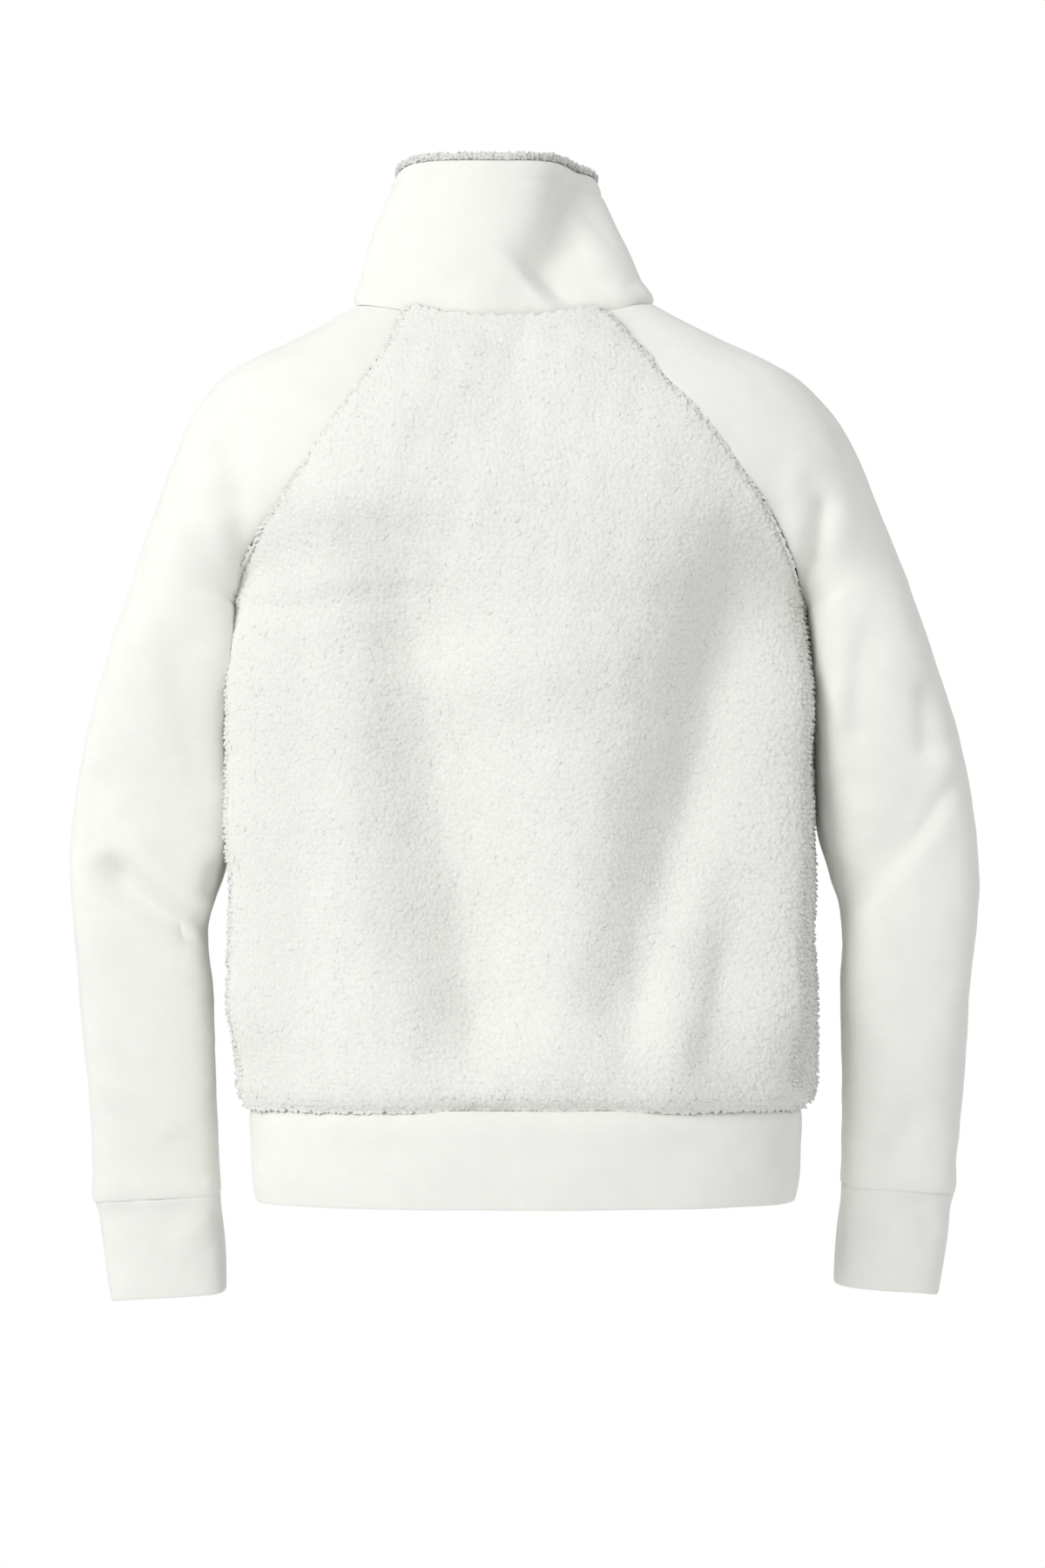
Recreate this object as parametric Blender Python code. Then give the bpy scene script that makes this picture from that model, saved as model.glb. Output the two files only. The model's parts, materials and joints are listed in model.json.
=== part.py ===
"""Zip-front fleece jacket in the hollow shape that it has when worn, with no wearer.

The back and the two fronts are sherpa. The raglan sleeves, cuffs, hem band and stand collar are
smooth fleece, and the collar is lined with sherpa. The zip is closed up to the top of the collar.

Frame: metres, +Z up, the chest faces -Y and +X is the wearer's left. The origin lies between the
shoulders at the base of the neck, where a wearer carries the jacket.

The whole cloth is worked out first as one form, section by section. The form is the outer face of
the smooth cloth and the backing of the sherpa. Each panel is then cut from the form along its
seams and given its own wall.
"""

import math

import bmesh
import bpy
from mathutils import Matrix, Vector

# Thickness of the cloths.
KNIT = 0.0018
SHERPA_BACKING = 0.0016
LINING_PILE = 0.0042

# Height of the sherpa's curls above its backing, and where they are pressed lower: distance to
# the underarm point, to the neckline and to the jacket's centre front.
SHERPA_PILE = 0.0040
UNDERARM_PILE = -0.0004
UNDERARM_PRESSED = (0.022, 0.062)
NECK_PILE = 0.0012
NECK_PRESSED = (0.002, 0.014)
ZIP_EDGE_PILE = 0.0012
ZIP_EDGE_PRESSED = (0.005, 0.015)

# Half of the gap that is left between two panels at a seam.
SEAM_HALF_GAP = 0.00025
LAYER_GAP = 0.0005

# Faces across each panel: half of the back, one front, and half of the way round a sleeve.
BACK_HALF_FACES = 12
FRONT_FACES = 12
SLEEVE_HALF_FACES = 10

# Half of the opening between the two front edges, which the zip fills.
FRONT_EDGE_X = 0.0050

# The jacket leans: its centre line moves towards the wearer's right from the collar to the hem.
# height, x of the centre line
LEAN = (
    (-0.700, -0.0150),
    (-0.400, -0.0150),
    (-0.300, -0.0135),
    (-0.200, -0.0115),
    (-0.150, -0.0100),
    (-0.060, -0.0060),
    (0.000, -0.0010),
    (0.050, 0.0040),
    (0.110, 0.0055),
)

# Yoke, from the neck (0) to the underarm (1), between the raglan seams: the centre back and
# centre front, the angle at which the section meets the seam, and the reach of its two handles.
# station, back y, back z, front y, front z, seam angle, seam handle behind and in front, centre share
YOKE = (
    (0.00, 0.0620, -0.0100, -0.0970, -0.0620, 28.0, 0.0200, 0.0200, 0.45),
    (0.25, 0.0920, -0.0520, -0.1130, -0.0900, 18.0, 0.0320, 0.0320, 0.45),
    (0.50, 0.1090, -0.0960, -0.1250, -0.1200, 20.0, 0.0400, 0.0400, 0.45),
    (0.75, 0.1165, -0.1460, -0.1310, -0.1570, 37.0, 0.0460, 0.0460, 0.46),
    (0.90, 0.1180, -0.1820, -0.1335, -0.1870, 42.0, 0.0400, 0.0370, 0.73),
    (0.97, 0.1182, -0.1980, -0.1338, -0.1995, 89.5, 0.0625, 0.0635, 0.63),
    (1.00, 0.1180, -0.2060, -0.1340, -0.2060, 90.0, 0.0763, 0.0800, 0.62),
)

# Body and hem band below the underarm. The sherpa blouses over its seam with the band.
# station, side x, side y, side z, back y, front y
BODY = (
    (1.00, 0.1930, -0.0050, -0.2060, 0.1180, -0.1340),
    (1.06, 0.1938, -0.0050, -0.2150, 0.1180, -0.1345),
    (1.20, 0.1948, -0.0040, -0.2450, 0.1155, -0.1360),
    (1.45, 0.1950, -0.0030, -0.3000, 0.1080, -0.1350),
    (1.75, 0.1948, -0.0020, -0.3700, 0.1020, -0.1310),
    (2.05, 0.1950, -0.0010, -0.4400, 0.1030, -0.1290),
    (2.30, 0.1955, -0.0010, -0.4950, 0.1090, -0.1310),
    (2.42, 0.1955, -0.0010, -0.5230, 0.1110, -0.1315),
    (2.50, 0.1930, -0.0010, -0.5390, 0.1085, -0.1290),
    (2.54, 0.1885, -0.0010, -0.5450, 0.1030, -0.1235),
    (2.57, 0.1900, -0.0010, -0.5500, 0.1055, -0.1260),
    (2.70, 0.1895, -0.0010, -0.5760, 0.1060, -0.1265),
    (2.85, 0.1878, -0.0010, -0.6000, 0.1030, -0.1235),
    (2.92, 0.1855, -0.0010, -0.6120, 0.1010, -0.1210),
)
BODY_HANDLE_SHARE = 0.62

# Sleeve, from the neck (0) past the underarm (1) and the elbow (2) to the end of the cuff. Each
# section runs from its back point over its outer point to its front point. From the underarm
# down the back and front points are one, and the section is a closed ring.
# station, outer x y z, back x y z, front x y z, reach outwards, reach away, reach at the outer point
SLEEVE = (
    (0.00, 0.1025, -0.0100, 0.0040, 0.0675, 0.048, -0.0030, 0.0640, -0.070, -0.0380, 0.85, -0.011, 0.033),
    (0.25, 0.1500, -0.0080, -0.0215, 0.1030, 0.081, -0.0480, 0.1000, -0.103, -0.0750, 0.80, -0.014, 0.051),
    (0.50, 0.2005, -0.0060, -0.0490, 0.1380, 0.096, -0.0920, 0.1340, -0.116, -0.1120, 0.80, -0.016, 0.059),
    (0.65, 0.2255, -0.0070, -0.0790, 0.1590, 0.093, -0.1220, 0.1550, -0.112, -0.1370, 0.75, -0.008, 0.062),
    (0.75, 0.2360, -0.0080, -0.1010, 0.1710, 0.084, -0.1410, 0.1680, -0.102, -0.1530, 0.70, 0.004, 0.065),
    (0.90, 0.2510, -0.0110, -0.1410, 0.1870, 0.052, -0.1770, 0.1860, -0.066, -0.1840, 0.45, 0.048, 0.082),
    (1.00, 0.2616, -0.0120, -0.1680, 0.1930, -0.005, -0.2060, 0.1930, -0.005, -0.2060, 0.12, 0.098, 0.098),
    (1.05, 0.2662, -0.0120, -0.1820, 0.1955, -0.006, -0.2075, 0.1955, -0.006, -0.2075, 0.00, 0.098, 0.098),
    (1.12, 0.2718, -0.0120, -0.2000, 0.1966, -0.007, -0.2190, 0.1966, -0.007, -0.2190, 0.00, 0.096, 0.097),
    (1.30, 0.2853, -0.0130, -0.2410, 0.1994, -0.010, -0.2620, 0.1994, -0.010, -0.2620, 0.00, 0.092, 0.093),
    (1.50, 0.2997, -0.0140, -0.2890, 0.2000, -0.013, -0.3130, 0.2000, -0.013, -0.3130, 0.00, 0.083, 0.085),
    (1.70, 0.3097, -0.0140, -0.3370, 0.2012, -0.014, -0.3570, 0.2012, -0.014, -0.3570, 0.00, 0.076, 0.078),
    (1.85, 0.3132, -0.0130, -0.3750, 0.2095, -0.012, -0.3880, 0.2095, -0.012, -0.3880, 0.00, 0.072, 0.073),
    (1.97, 0.3130, -0.0110, -0.4050, 0.2170, -0.009, -0.4140, 0.2170, -0.009, -0.4140, 0.00, 0.069, 0.070),
    (2.05, 0.3117, -0.0110, -0.4250, 0.2184, -0.009, -0.4310, 0.2184, -0.009, -0.4310, 0.00, 0.067, 0.068),
    (2.20, 0.3083, -0.0170, -0.4630, 0.2168, -0.014, -0.4670, 0.2168, -0.014, -0.4670, 0.00, 0.064, 0.065),
    (2.45, 0.3033, -0.0300, -0.5300, 0.2170, -0.026, -0.5310, 0.2170, -0.026, -0.5310, 0.00, 0.061, 0.061),
    (2.70, 0.3000, -0.0450, -0.5860, 0.2164, -0.040, -0.5820, 0.2164, -0.040, -0.5820, 0.00, 0.058, 0.059),
    (2.85, 0.2995, -0.0520, -0.6130, 0.2162, -0.046, -0.6060, 0.2162, -0.046, -0.6060, 0.00, 0.057, 0.057),
    (2.88, 0.2977, -0.0530, -0.6180, 0.2162, -0.047, -0.6110, 0.2162, -0.047, -0.6110, 0.00, 0.054, 0.054),
    (3.00, 0.2948, -0.0580, -0.6420, 0.2138, -0.052, -0.6370, 0.2138, -0.052, -0.6370, 0.00, 0.051, 0.051),
    (3.17, 0.2890, -0.0660, -0.6840, 0.2124, -0.060, -0.6755, 0.2124, -0.060, -0.6755, 0.00, 0.047, 0.047),
)

# How far a sleeve's section is squared off, and the stations over which that grows.
SLEEVE_SQUARE = 0.55
SLEEVE_SQUARE_STATIONS = (0.90, 1.25)

# The wearer's left sleeve is a little wider and longer towards its cuff than the right one.
# station, inner edge inwards on the left and outwards on the right, left down and right up
SLEEVE_DIFFERENCE = (
    (1.50, 0.0000, 0.0000),
    (1.70, 0.0012, 0.0000),
    (1.85, 0.0012, 0.0000),
    (2.05, 0.0000, 0.0000),
    (2.45, 0.0018, 0.0015),
    (2.85, 0.0036, 0.0030),
    (3.17, 0.0036, 0.0025),
)

# The left raglan seam runs a little closer to the centre back than the right one does.
# station, x and y of the seam's shift
LEFT_SEAM = (
    (0.00, 0.0000, 0.0000),
    (0.12, -0.0045, 0.0020),
    (0.25, -0.0060, 0.0020),
    (0.38, -0.0072, 0.0025),
    (0.50, -0.0078, 0.0030),
    (0.62, -0.0078, 0.0042),
    (0.75, -0.0070, 0.0050),
    (0.85, -0.0025, 0.0022),
    (0.90, 0.0005, 0.0000),
    (0.96, 0.0020, 0.0000),
    (1.00, 0.0000, 0.0000),
)

# Stations at which the form is drawn, closer together where it turns. The band and the cuffs
# each start at the station where the sherpa or the sleeve ends.
YOKE_STATIONS = (0.0, 0.12, 0.25, 0.38, 0.50, 0.62, 0.74, 0.84, 0.91, 0.95, 0.98, 1.0)
BODY_STATIONS = (1.0, 1.06, 1.17, 1.32, 1.47, 1.62, 1.77, 1.92, 2.07, 2.20, 2.32, 2.42, 2.50, 2.54)
BAND_STATIONS = (2.54, 2.57, 2.70, 2.85, 2.92)
ARM_STATIONS = (
    *(1.0, 1.05, 1.12, 1.26, 1.42, 1.58, 1.72, 1.82),
    *(1.90, 1.97, 2.05, 2.14, 2.28, 2.46, 2.66, 2.85),
)
CUFF_STATIONS = (2.85, 2.88, 3.0, 3.17)

# Top edge of the collar: its centre back, its side and its centre front.
COLLAR_BACK_TOP = (0.0400, 0.1000)
COLLAR_SIDE_TOP = (0.0687, -0.0260, 0.0930)
COLLAR_FRONT_TOP = (-0.0880, 0.0490)
COLLAR_ROUND = 0.56
COLLAR_SIDE_SLOPE = 0.32
COLLAR_BULGE = 0.0025
COLLAR_ROLL = 0.0030
COLLAR_ROLL_SHARE = 0.07
COLLAR_SHARES = (0.0, 0.07, 0.22, 0.42, 0.62, 0.82, 1.0)
LINING_FIRST_ROW = 1
LINING_FIRST_COLUMN = 3
LINING_RISE = 0.0055

# Folds, each along a curved line through three points as seen from the back or the front. A
# positive depth is a trough and a negative one a ridge.
# view, x and z of the start, middle and end, depth, width on its +X side, width on its -X side
BACK, FRONT = 1.0, -1.0
BODY_FOLDS = (
    (BACK, 0.052, -0.190, 0.040, -0.380, 0.022, -0.535, 0.0085, 0.040, 0.040),
    (BACK, -0.158, -0.160, -0.150, -0.300, -0.055, -0.535, 0.0120, 0.036, 0.026),
    (BACK, -0.160, -0.350, -0.168, -0.440, -0.142, -0.540, 0.0070, 0.020, 0.022),
    (BACK, -0.118, -0.390, -0.124, -0.460, -0.100, -0.540, -0.0035, 0.018, 0.018),
    (BACK, -0.006, -0.010, -0.008, -0.045, -0.006, -0.085, 0.0020, 0.018, 0.020),
    (FRONT, -0.118, -0.180, -0.100, -0.370, -0.060, -0.535, 0.0080, 0.034, 0.038),
    (FRONT, 0.110, -0.170, 0.105, -0.350, 0.040, -0.535, 0.0085, 0.038, 0.034),
    (FRONT, 0.135, -0.360, 0.140, -0.450, 0.118, -0.540, 0.0060, 0.022, 0.022),
)
SLEEVE_FOLDS = (
    (BACK, 0.186, -0.070, 0.190, -0.115, 0.194, -0.155, 0.0045, 0.012, 0.010),
    (BACK, 0.224, -0.190, 0.220, -0.260, 0.205, -0.320, 0.0030, 0.018, 0.018),
    (BACK, 0.282, -0.325, 0.280, -0.350, 0.270, -0.380, 0.0040, 0.014, 0.012),
    (BACK, 0.284, -0.366, 0.248, -0.418, 0.196, -0.434, 0.0070, 0.020, 0.010),
    (BACK, 0.270, -0.340, 0.236, -0.390, 0.196, -0.412, -0.0030, 0.016, 0.016),
    (BACK, -0.204, -0.105, -0.216, -0.150, -0.212, -0.190, 0.0050, 0.012, 0.012),
    (BACK, -0.252, -0.205, -0.246, -0.280, -0.238, -0.350, 0.0045, 0.014, 0.012),
    (BACK, -0.290, -0.250, -0.288, -0.290, -0.278, -0.320, 0.0020, 0.012, 0.012),
    (BACK, -0.304, -0.345, -0.284, -0.402, -0.232, -0.420, 0.0060, 0.010, 0.020),
    (BACK, -0.300, -0.322, -0.276, -0.378, -0.232, -0.398, -0.0030, 0.014, 0.014),
    (BACK, 0.230, -0.560, 0.216, -0.585, 0.200, -0.600, 0.0025, 0.012, 0.010),
    (BACK, -0.290, -0.540, -0.276, -0.565, -0.262, -0.590, 0.0025, 0.012, 0.012),
    (FRONT, 0.182, -0.090, 0.190, -0.140, 0.184, -0.185, 0.0045, 0.013, 0.012),
    (FRONT, -0.206, -0.095, -0.212, -0.145, -0.206, -0.190, 0.0045, 0.012, 0.013),
    (FRONT, 0.282, -0.360, 0.246, -0.398, 0.196, -0.420, 0.0075, 0.020, 0.012),
    (FRONT, 0.276, -0.400, 0.240, -0.432, 0.196, -0.446, 0.0055, 0.018, 0.012),
    (FRONT, -0.302, -0.352, -0.268, -0.394, -0.228, -0.412, 0.0075, 0.012, 0.020),
    (FRONT, -0.300, -0.394, -0.262, -0.430, -0.228, -0.442, 0.0055, 0.012, 0.018),
)
COLLAR_FOLDS = (
    (BACK, -0.058, 0.104, -0.034, 0.060, -0.008, 0.014, 0.0085, 0.013, 0.015),
    (BACK, -0.062, 0.080, -0.062, 0.045, -0.066, 0.020, -0.0030, 0.014, 0.014),
    (FRONT, -0.046, 0.030, -0.050, 0.000, -0.052, -0.034, 0.0050, 0.012, 0.012),
    (FRONT, 0.050, 0.034, 0.052, 0.000, 0.056, -0.034, 0.0050, 0.012, 0.012),
)
FOLD_STEPS = 14

# Where a fold starts and ends along its line, and how squarely the cloth has to face its view.
FOLD_START = (-0.05, 0.25)
FOLD_END = (0.80, 1.05)
FOLD_END_LOSS = 0.7
FOLD_FACING = (-0.15, 0.45)

# Zip.
TAPE_INNER_X = 0.0016
TAPE_OUTER_X = 0.0150
TAPE_THICKNESS = 0.0008
CHAIN_HALF_WIDTH = 0.0028
CHAIN_THICKNESS = 0.0023
PART_GAP = 0.0003
ZIP_SINK = KNIT + LAYER_GAP - PART_GAP
BOX_LENGTH = 0.0095
BOX_HALF_WIDTH = 0.0042
BOX_THICKNESS = 0.0029
SLIDER_LENGTH = 0.0120
SLIDER_HALF_WIDTH = 0.0043
SLIDER_NOSE_HALF_WIDTH = 0.0030
SLIDER_FRONT = 0.0022
BAIL_HALF_WIDTH = 0.0008
BAIL_BAR = 0.0010
BAIL_OPENING = 0.0024
BAIL_LENGTH = 0.0064
BAIL_FOOT = 0.0002
BAIL_CORNER = 0.0004
PULL_BAR = 0.0012
PULL_EYE_HALF_WIDTH = 0.0034
PULL_EYE_LENGTH = 0.0056
PULL_HOLE_ARC_HALF_WIDTH = 0.0009
PULL_TAB_LENGTH = 0.0280
PULL_TAB_HALF_WIDTH = 0.0042
PULL_CORNER_WIDTH = 0.0020
PULL_CORNER_LENGTH = 0.0030

KNIT_COLOUR = (0.80, 0.81, 0.765, 1.0)
SHERPA_COLOUR = (0.78, 0.79, 0.745, 1.0)
TAPE_COLOUR = (0.76, 0.77, 0.73, 1.0)
METAL_COLOUR = (0.72, 0.72, 0.70, 1.0)


def smoothstep(low, high, value):
    """Goes smoothly from 0 at low to 1 at high, which may be the smaller of the two."""
    share = min(1.0, max(0.0, (value - low) / (high - low)))
    return share * share * (3.0 - 2.0 * share)


def slope(table, row, column):
    """Slope of one column of a table at one of its rows."""
    steps = []
    for first in (row - 1, row):
        if 0 <= first < len(table) - 1:
            run = table[first + 1][0] - table[first][0]
            steps.append(((table[first + 1][column] - table[first][column]) / run, run))
    if len(steps) == 1:
        return steps[0][0]
    (before, run_before), (after, run_after) = steps
    return (before * run_after + after * run_before) / (run_before + run_after)


def read(table, station):
    """The other columns of a table at a value of its first column, on a smooth curve through its rows."""
    row = 0
    while row < len(table) - 2 and station > table[row + 1][0]:
        row += 1
    run = table[row + 1][0] - table[row][0]
    t = min(1.0, max(0.0, (station - table[row][0]) / run))
    start = 2 * t**3 - 3 * t**2 + 1
    leave = (t**3 - 2 * t**2 + t) * run
    arrive = (t**3 - t**2) * run
    found = []
    for column in range(1, len(table[0])):
        here, there = table[row][column], table[row + 1][column]
        value = start * here + (1 - start) * there
        value += leave * slope(table, row, column) + arrive * slope(table, row + 1, column)
        found.append(value)
    return found


def cubic(first, second, third, fourth, t):
    """Point of a cubic curve with two end points and two handles."""
    u = 1.0 - t
    return u**3 * first + 3 * u * u * t * second + 3 * u * t * t * third + t**3 * fourth


def mirrored(point, side):
    """The point on the wearer's left (side 1) or right (side -1)."""
    return Vector((point.x * side, point.y, point.z))


def leaning(point):
    """Moves a point of the upright form over to the leaning centre line."""
    return Vector((point.x + read(LEAN, point.z)[0], point.y, point.z))


def seam_point(station, view, side):
    """Point of one raglan seam at a station of the yoke, on the back or the front."""
    row = read(SLEEVE, station)
    if view == FRONT:
        return Vector(row[6:9])
    if side < 0:
        return Vector(row[3:6])
    return Vector(row[3:6]) + Vector((*read(LEFT_SEAM, station), 0.0))


def body_points(station, view, faces, side_sign=-1):
    """Half of a body section, from its centre to its side or raglan seam on one side."""
    edge_x = 0.0 if view == BACK else FRONT_EDGE_X
    if station <= 1.0:
        back_y, back_z, front_y, front_z, angle, *handles, share = read(YOKE, station)
        handle = handles[0] if view == BACK else handles[1]
        side = seam_point(station, view, side_sign)
        centre = Vector((edge_x, back_y, back_z) if view == BACK else (edge_x, front_y, front_z))
        turn = math.radians(angle)
    else:
        side_x, side_y, side_z, back_y, front_y = read(BODY, station)
        side = Vector((side_x, side_y, side_z))
        centre = Vector((edge_x, back_y if view == BACK else front_y, side_z))
        handle = BODY_HANDLE_SHARE * abs(centre.y - side_y)
        share = BODY_HANDLE_SHARE
        turn = math.pi / 2
    by_centre = centre + Vector((share * side.x, 0.0, 0.0))
    by_side = side + Vector((-handle * math.cos(turn), view * handle * math.sin(turn), 0.0))
    return [cubic(centre, by_centre, by_side, side, i / faces) for i in range(faces + 1)]


def sleeve_points(station, side):
    """A sleeve section, from its back point over its outer point to its front point."""
    row = read(SLEEVE, station)
    wider, lower = read(SLEEVE_DIFFERENCE, station)
    outer = Vector(row[0:3])
    back, front = seam_point(station, BACK, side), seam_point(station, FRONT, side)
    outer -= Vector((0.0, 0.0, side * lower))
    back -= Vector((side * wider, 0.0, side * lower))
    front -= Vector((side * wider, 0.0, side * lower))
    out, away, top = row[9:12]
    square = SLEEVE_SQUARE * smoothstep(*SLEEVE_SQUARE_STATIONS, station)
    points = []
    for end, view in ((back, BACK), (front, FRONT)):
        across = outer - end
        by_end = end + Vector((out * across.x, view * away, out * across.z))
        by_outer = outer + Vector((0.0, view * top, 0.0))
        half = [
            cubic(end, by_end, by_outer, outer, i / SLEEVE_HALF_FACES)
            for i in range(SLEEVE_HALF_FACES + 1)
        ]
        for point in half:
            share = (point.x - end.x) / across.x
            point.x -= across.x * square * math.sin(2 * math.pi * share) / (2 * math.pi)
        points += half if view == BACK else half[-2::-1]
    return points


def neck_points():
    """Half of the neckline, from the centre back round the shoulder to the front edge."""
    back = body_points(0.0, BACK, BACK_HALF_FACES)
    front = body_points(0.0, FRONT, FRONT_FACES)
    return back + sleeve_points(0.0, 1)[1:] + front[-2::-1]


def length_shares(points):
    """How far along its line each point lies, from 0 to 1."""
    along = [0.0]
    for here, there in zip(points, points[1:]):
        along.append(along[-1] + (there - here).length)
    return [value / along[-1] for value in along]


def collar_top(share, side_share):
    """Point of the collar's top edge at a share of the way from the centre back to the front."""
    back = Vector((0.0, *COLLAR_BACK_TOP))
    side = Vector(COLLAR_SIDE_TOP)
    front = Vector((FRONT_EDGE_X, *COLLAR_FRONT_TOP))
    if share <= side_share:
        t, end, centre = share / side_share, side, back
    else:
        t, end, centre = (1.0 - share) / (1.0 - side_share), side, front
    by_centre = centre + Vector((COLLAR_ROUND * side.x, 0.0, 0.0))
    run = COLLAR_ROUND * (centre.y - end.y)
    by_side = end + Vector((0.0, run, COLLAR_SIDE_SLOPE * run))
    return cubic(centre, by_centre, by_side, end, t)


def collar_row(height_share):
    """Half of a collar section at a share of its height, from the centre back to the front edge."""
    base = neck_points()
    shares = length_shares(base)
    side_share = shares[BACK_HALF_FACES + SLEEVE_HALF_FACES]
    row = []
    for point, share in zip(base, shares):
        top = collar_top(share, side_share)
        outward = Vector((point.x, point.y - COLLAR_SIDE_TOP[1], 0.0)).normalized()
        bulge = COLLAR_BULGE * math.sin(math.pi * height_share)
        roll = smoothstep(0.0, COLLAR_ROLL_SHARE, height_share)
        roll *= smoothstep(3 * COLLAR_ROLL_SHARE, COLLAR_ROLL_SHARE, height_share)
        bulge += COLLAR_ROLL * roll * abs(outward.x)
        row.append(point.lerp(top, height_share) + outward * bulge)
    return row


def fold_line(start, middle, end):
    """Points along a fold's curved line."""
    line = []
    for step in range(FOLD_STEPS + 1):
        t = step / FOLD_STEPS
        u = 1.0 - t
        line.append(u * u * start + 2 * u * t * middle + t * t * end)
    return line


def nearest_on(line, place):
    """Distance to a line, the share of the line that is passed there, and the offset in x."""
    best = None
    for step, (here, there) in enumerate(zip(line, line[1:])):
        way = there - here
        share = min(1.0, max(0.0, (place - here).dot(way) / way.length_squared))
        gap = place - here - share * way
        if best is None or gap.length < best[0]:
            best = (gap.length, (step + share) / FOLD_STEPS, gap.x)
    return best


def fold_depth(folds, point, normal):
    """How far the folds take a point of the form inwards."""
    depth = 0.0
    for view, x0, z0, x1, z1, x2, z2, reach, plus_width, minus_width in folds:
        facing = smoothstep(*FOLD_FACING, normal.y * view)
        if facing == 0.0:
            continue
        line = fold_line(Vector((x0, z0)), Vector((x1, z1)), Vector((x2, z2)))
        distance, passed, offset = nearest_on(line, Vector((point.x, point.z)))
        width = plus_width if offset > 0 else minus_width
        ends = smoothstep(*FOLD_START, passed) * (1.0 - FOLD_END_LOSS * smoothstep(*FOLD_END, passed))
        depth += reach * facing * ends * math.exp(-((distance / width) ** 2))
    return depth


class Form:
    """The jacket's one form: shared points, and the faces of each panel."""

    def __init__(self):
        self.points = []
        self.folds = []
        self.found = {}
        self.faces = {}

    def point(self, place, folds):
        """Index of a point, which is shared with the other panels that meet there."""
        key = tuple(round(value, 6) for value in place)
        if key not in self.found:
            self.found[key] = len(self.points)
            self.points.append(place)
            self.folds.append(folds)
        return self.found[key]

    def add_grid(self, panel, rows, folds, flip=False):
        """Adds the faces between neighbouring rows of points to a panel, and gives the indices."""
        grid = [[self.point(leaning(place), folds) for place in row] for row in rows]
        faces = self.faces.setdefault(panel, [])
        for low, high in zip(grid, grid[1:]):
            for i in range(len(low) - 1):
                face = [low[i], low[i + 1], high[i + 1], high[i]]
                corners = list(dict.fromkeys(face))
                if len(corners) >= 3:
                    faces.append(tuple(reversed(corners)) if flip else tuple(corners))
        return grid

    def normals(self, panels=None):
        """Outward direction at each point, over all the panels that meet there or only some."""
        sums = [Vector() for _ in self.points]
        for panel, faces in self.faces.items():
            if panels and panel not in panels:
                continue
            for face in faces:
                corners = [self.points[i] for i in face]
                across = (corners[2] - corners[0]).cross(corners[-1] - corners[1])
                for i in face:
                    sums[i] += across
        return [total.normalized() if total.length > 0 else total for total in sums]

    def fold(self):
        """Presses the folds into the form."""
        for i, normal in enumerate(self.normals()):
            place = self.points[i]
            self.points[i] = place - normal * fold_depth(self.folds[i], place, normal)


def pressed_pile(low_pile, span, distance):
    """Height of the curls at a distance from a place that presses them down to low_pile."""
    return low_pile + (SHERPA_PILE - low_pile) * smoothstep(*span, distance)


def pile_depth(place, neckline):
    """Height of the sherpa's curls at a point of the form."""
    across = abs(place.x - read(LEAN, place.z)[0])
    from_underarm = (Vector((across, place.y, place.z)) - Vector(BODY[0][1:4])).length
    from_neckline = min((place - point).length for point in neckline)
    depth = pressed_pile(UNDERARM_PILE, UNDERARM_PRESSED, from_underarm)
    depth = min(depth, pressed_pile(NECK_PILE, NECK_PRESSED, from_neckline))
    if place.y < 0:
        depth = min(depth, pressed_pile(ZIP_EDGE_PILE, ZIP_EDGE_PRESSED, across))
    return depth


def material(name, colour, roughness, metallic=0.0):
    """A plain finish, made once for each name."""
    made = bpy.data.materials.get(name)
    if made is None:
        made = bpy.data.materials.new(name)
        made.use_nodes = True
        shader = made.node_tree.nodes["Principled BSDF"]
        shader.inputs["Base Color"].default_value = colour
        shader.inputs["Roughness"].default_value = roughness
        shader.inputs["Metallic"].default_value = metallic
    return made


def add_object(name, points, faces, finish, smooth_angle=40.0):
    """A mesh object with the given points, faces and finish."""
    mesh = bpy.data.meshes.new(name)
    mesh.from_pydata([tuple(point) for point in points], [], faces)
    mesh.materials.append(finish)
    mesh.shade_smooth()
    mesh.set_sharp_from_angle(angle=math.radians(smooth_angle))
    made = bpy.data.objects.new(name, mesh)
    bpy.context.scene.collection.objects.link(made)
    return made


def drawn_in(places, faces, amount):
    """The panel's points, with those on its edge moved inwards along the cloth."""
    edges = {}
    for face in faces:
        for here, there in zip(face, face[1:] + face[:1]):
            edges[(here, there)] = edges.get((here, there), 0) + 1
    rim = {i for here, there in edges if (there, here) not in edges for i in (here, there)}
    moved = dict(places)
    for i in rim:
        inwards = Vector()
        for face in faces:
            if i in face:
                middle = sum((places[j] for j in face), Vector()) / len(face)
                inwards += (middle - places[i]).normalized()
        moved[i] = places[i] + inwards.normalized() * amount
    outline = [(here, there) for here, there in edges if (there, here) not in edges]
    return moved, outline


def split(face, places):
    """Cuts a four-cornered face along its longer diagonal, which keeps a valley beside it open."""
    if len(face) == 3:
        return [face]
    a, b, c, d = face
    if (places[a] - places[c]).length >= (places[b] - places[d]).length:
        return [(a, b, c), (a, c, d)]
    return [(a, b, d), (b, c, d)]


def add_wall(name, places, normals, faces, raised, sunk, finish):
    """A cloth panel as one closed wall: its outer face raised and its inner face sunk."""
    places, outline = drawn_in(places, faces, SEAM_HALF_GAP)
    order = {i: n for n, i in enumerate(places)}
    count = len(order)
    outer = [place + normals[i] * raised(place) for i, place in places.items()]
    inner = [place - normals[i] * sunk for i, place in places.items()]
    triangles = [corners for face in faces for corners in split(face, places)]
    solid = [tuple(order[i] for i in corners) for corners in triangles]
    solid += [tuple(order[i] + count for i in reversed(corners)) for corners in triangles]
    for here, there in outline:
        a, b = order[here], order[there]
        solid.append((b, a, a + count, b + count))
    return add_object(name, outer + inner, solid, finish)


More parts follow.
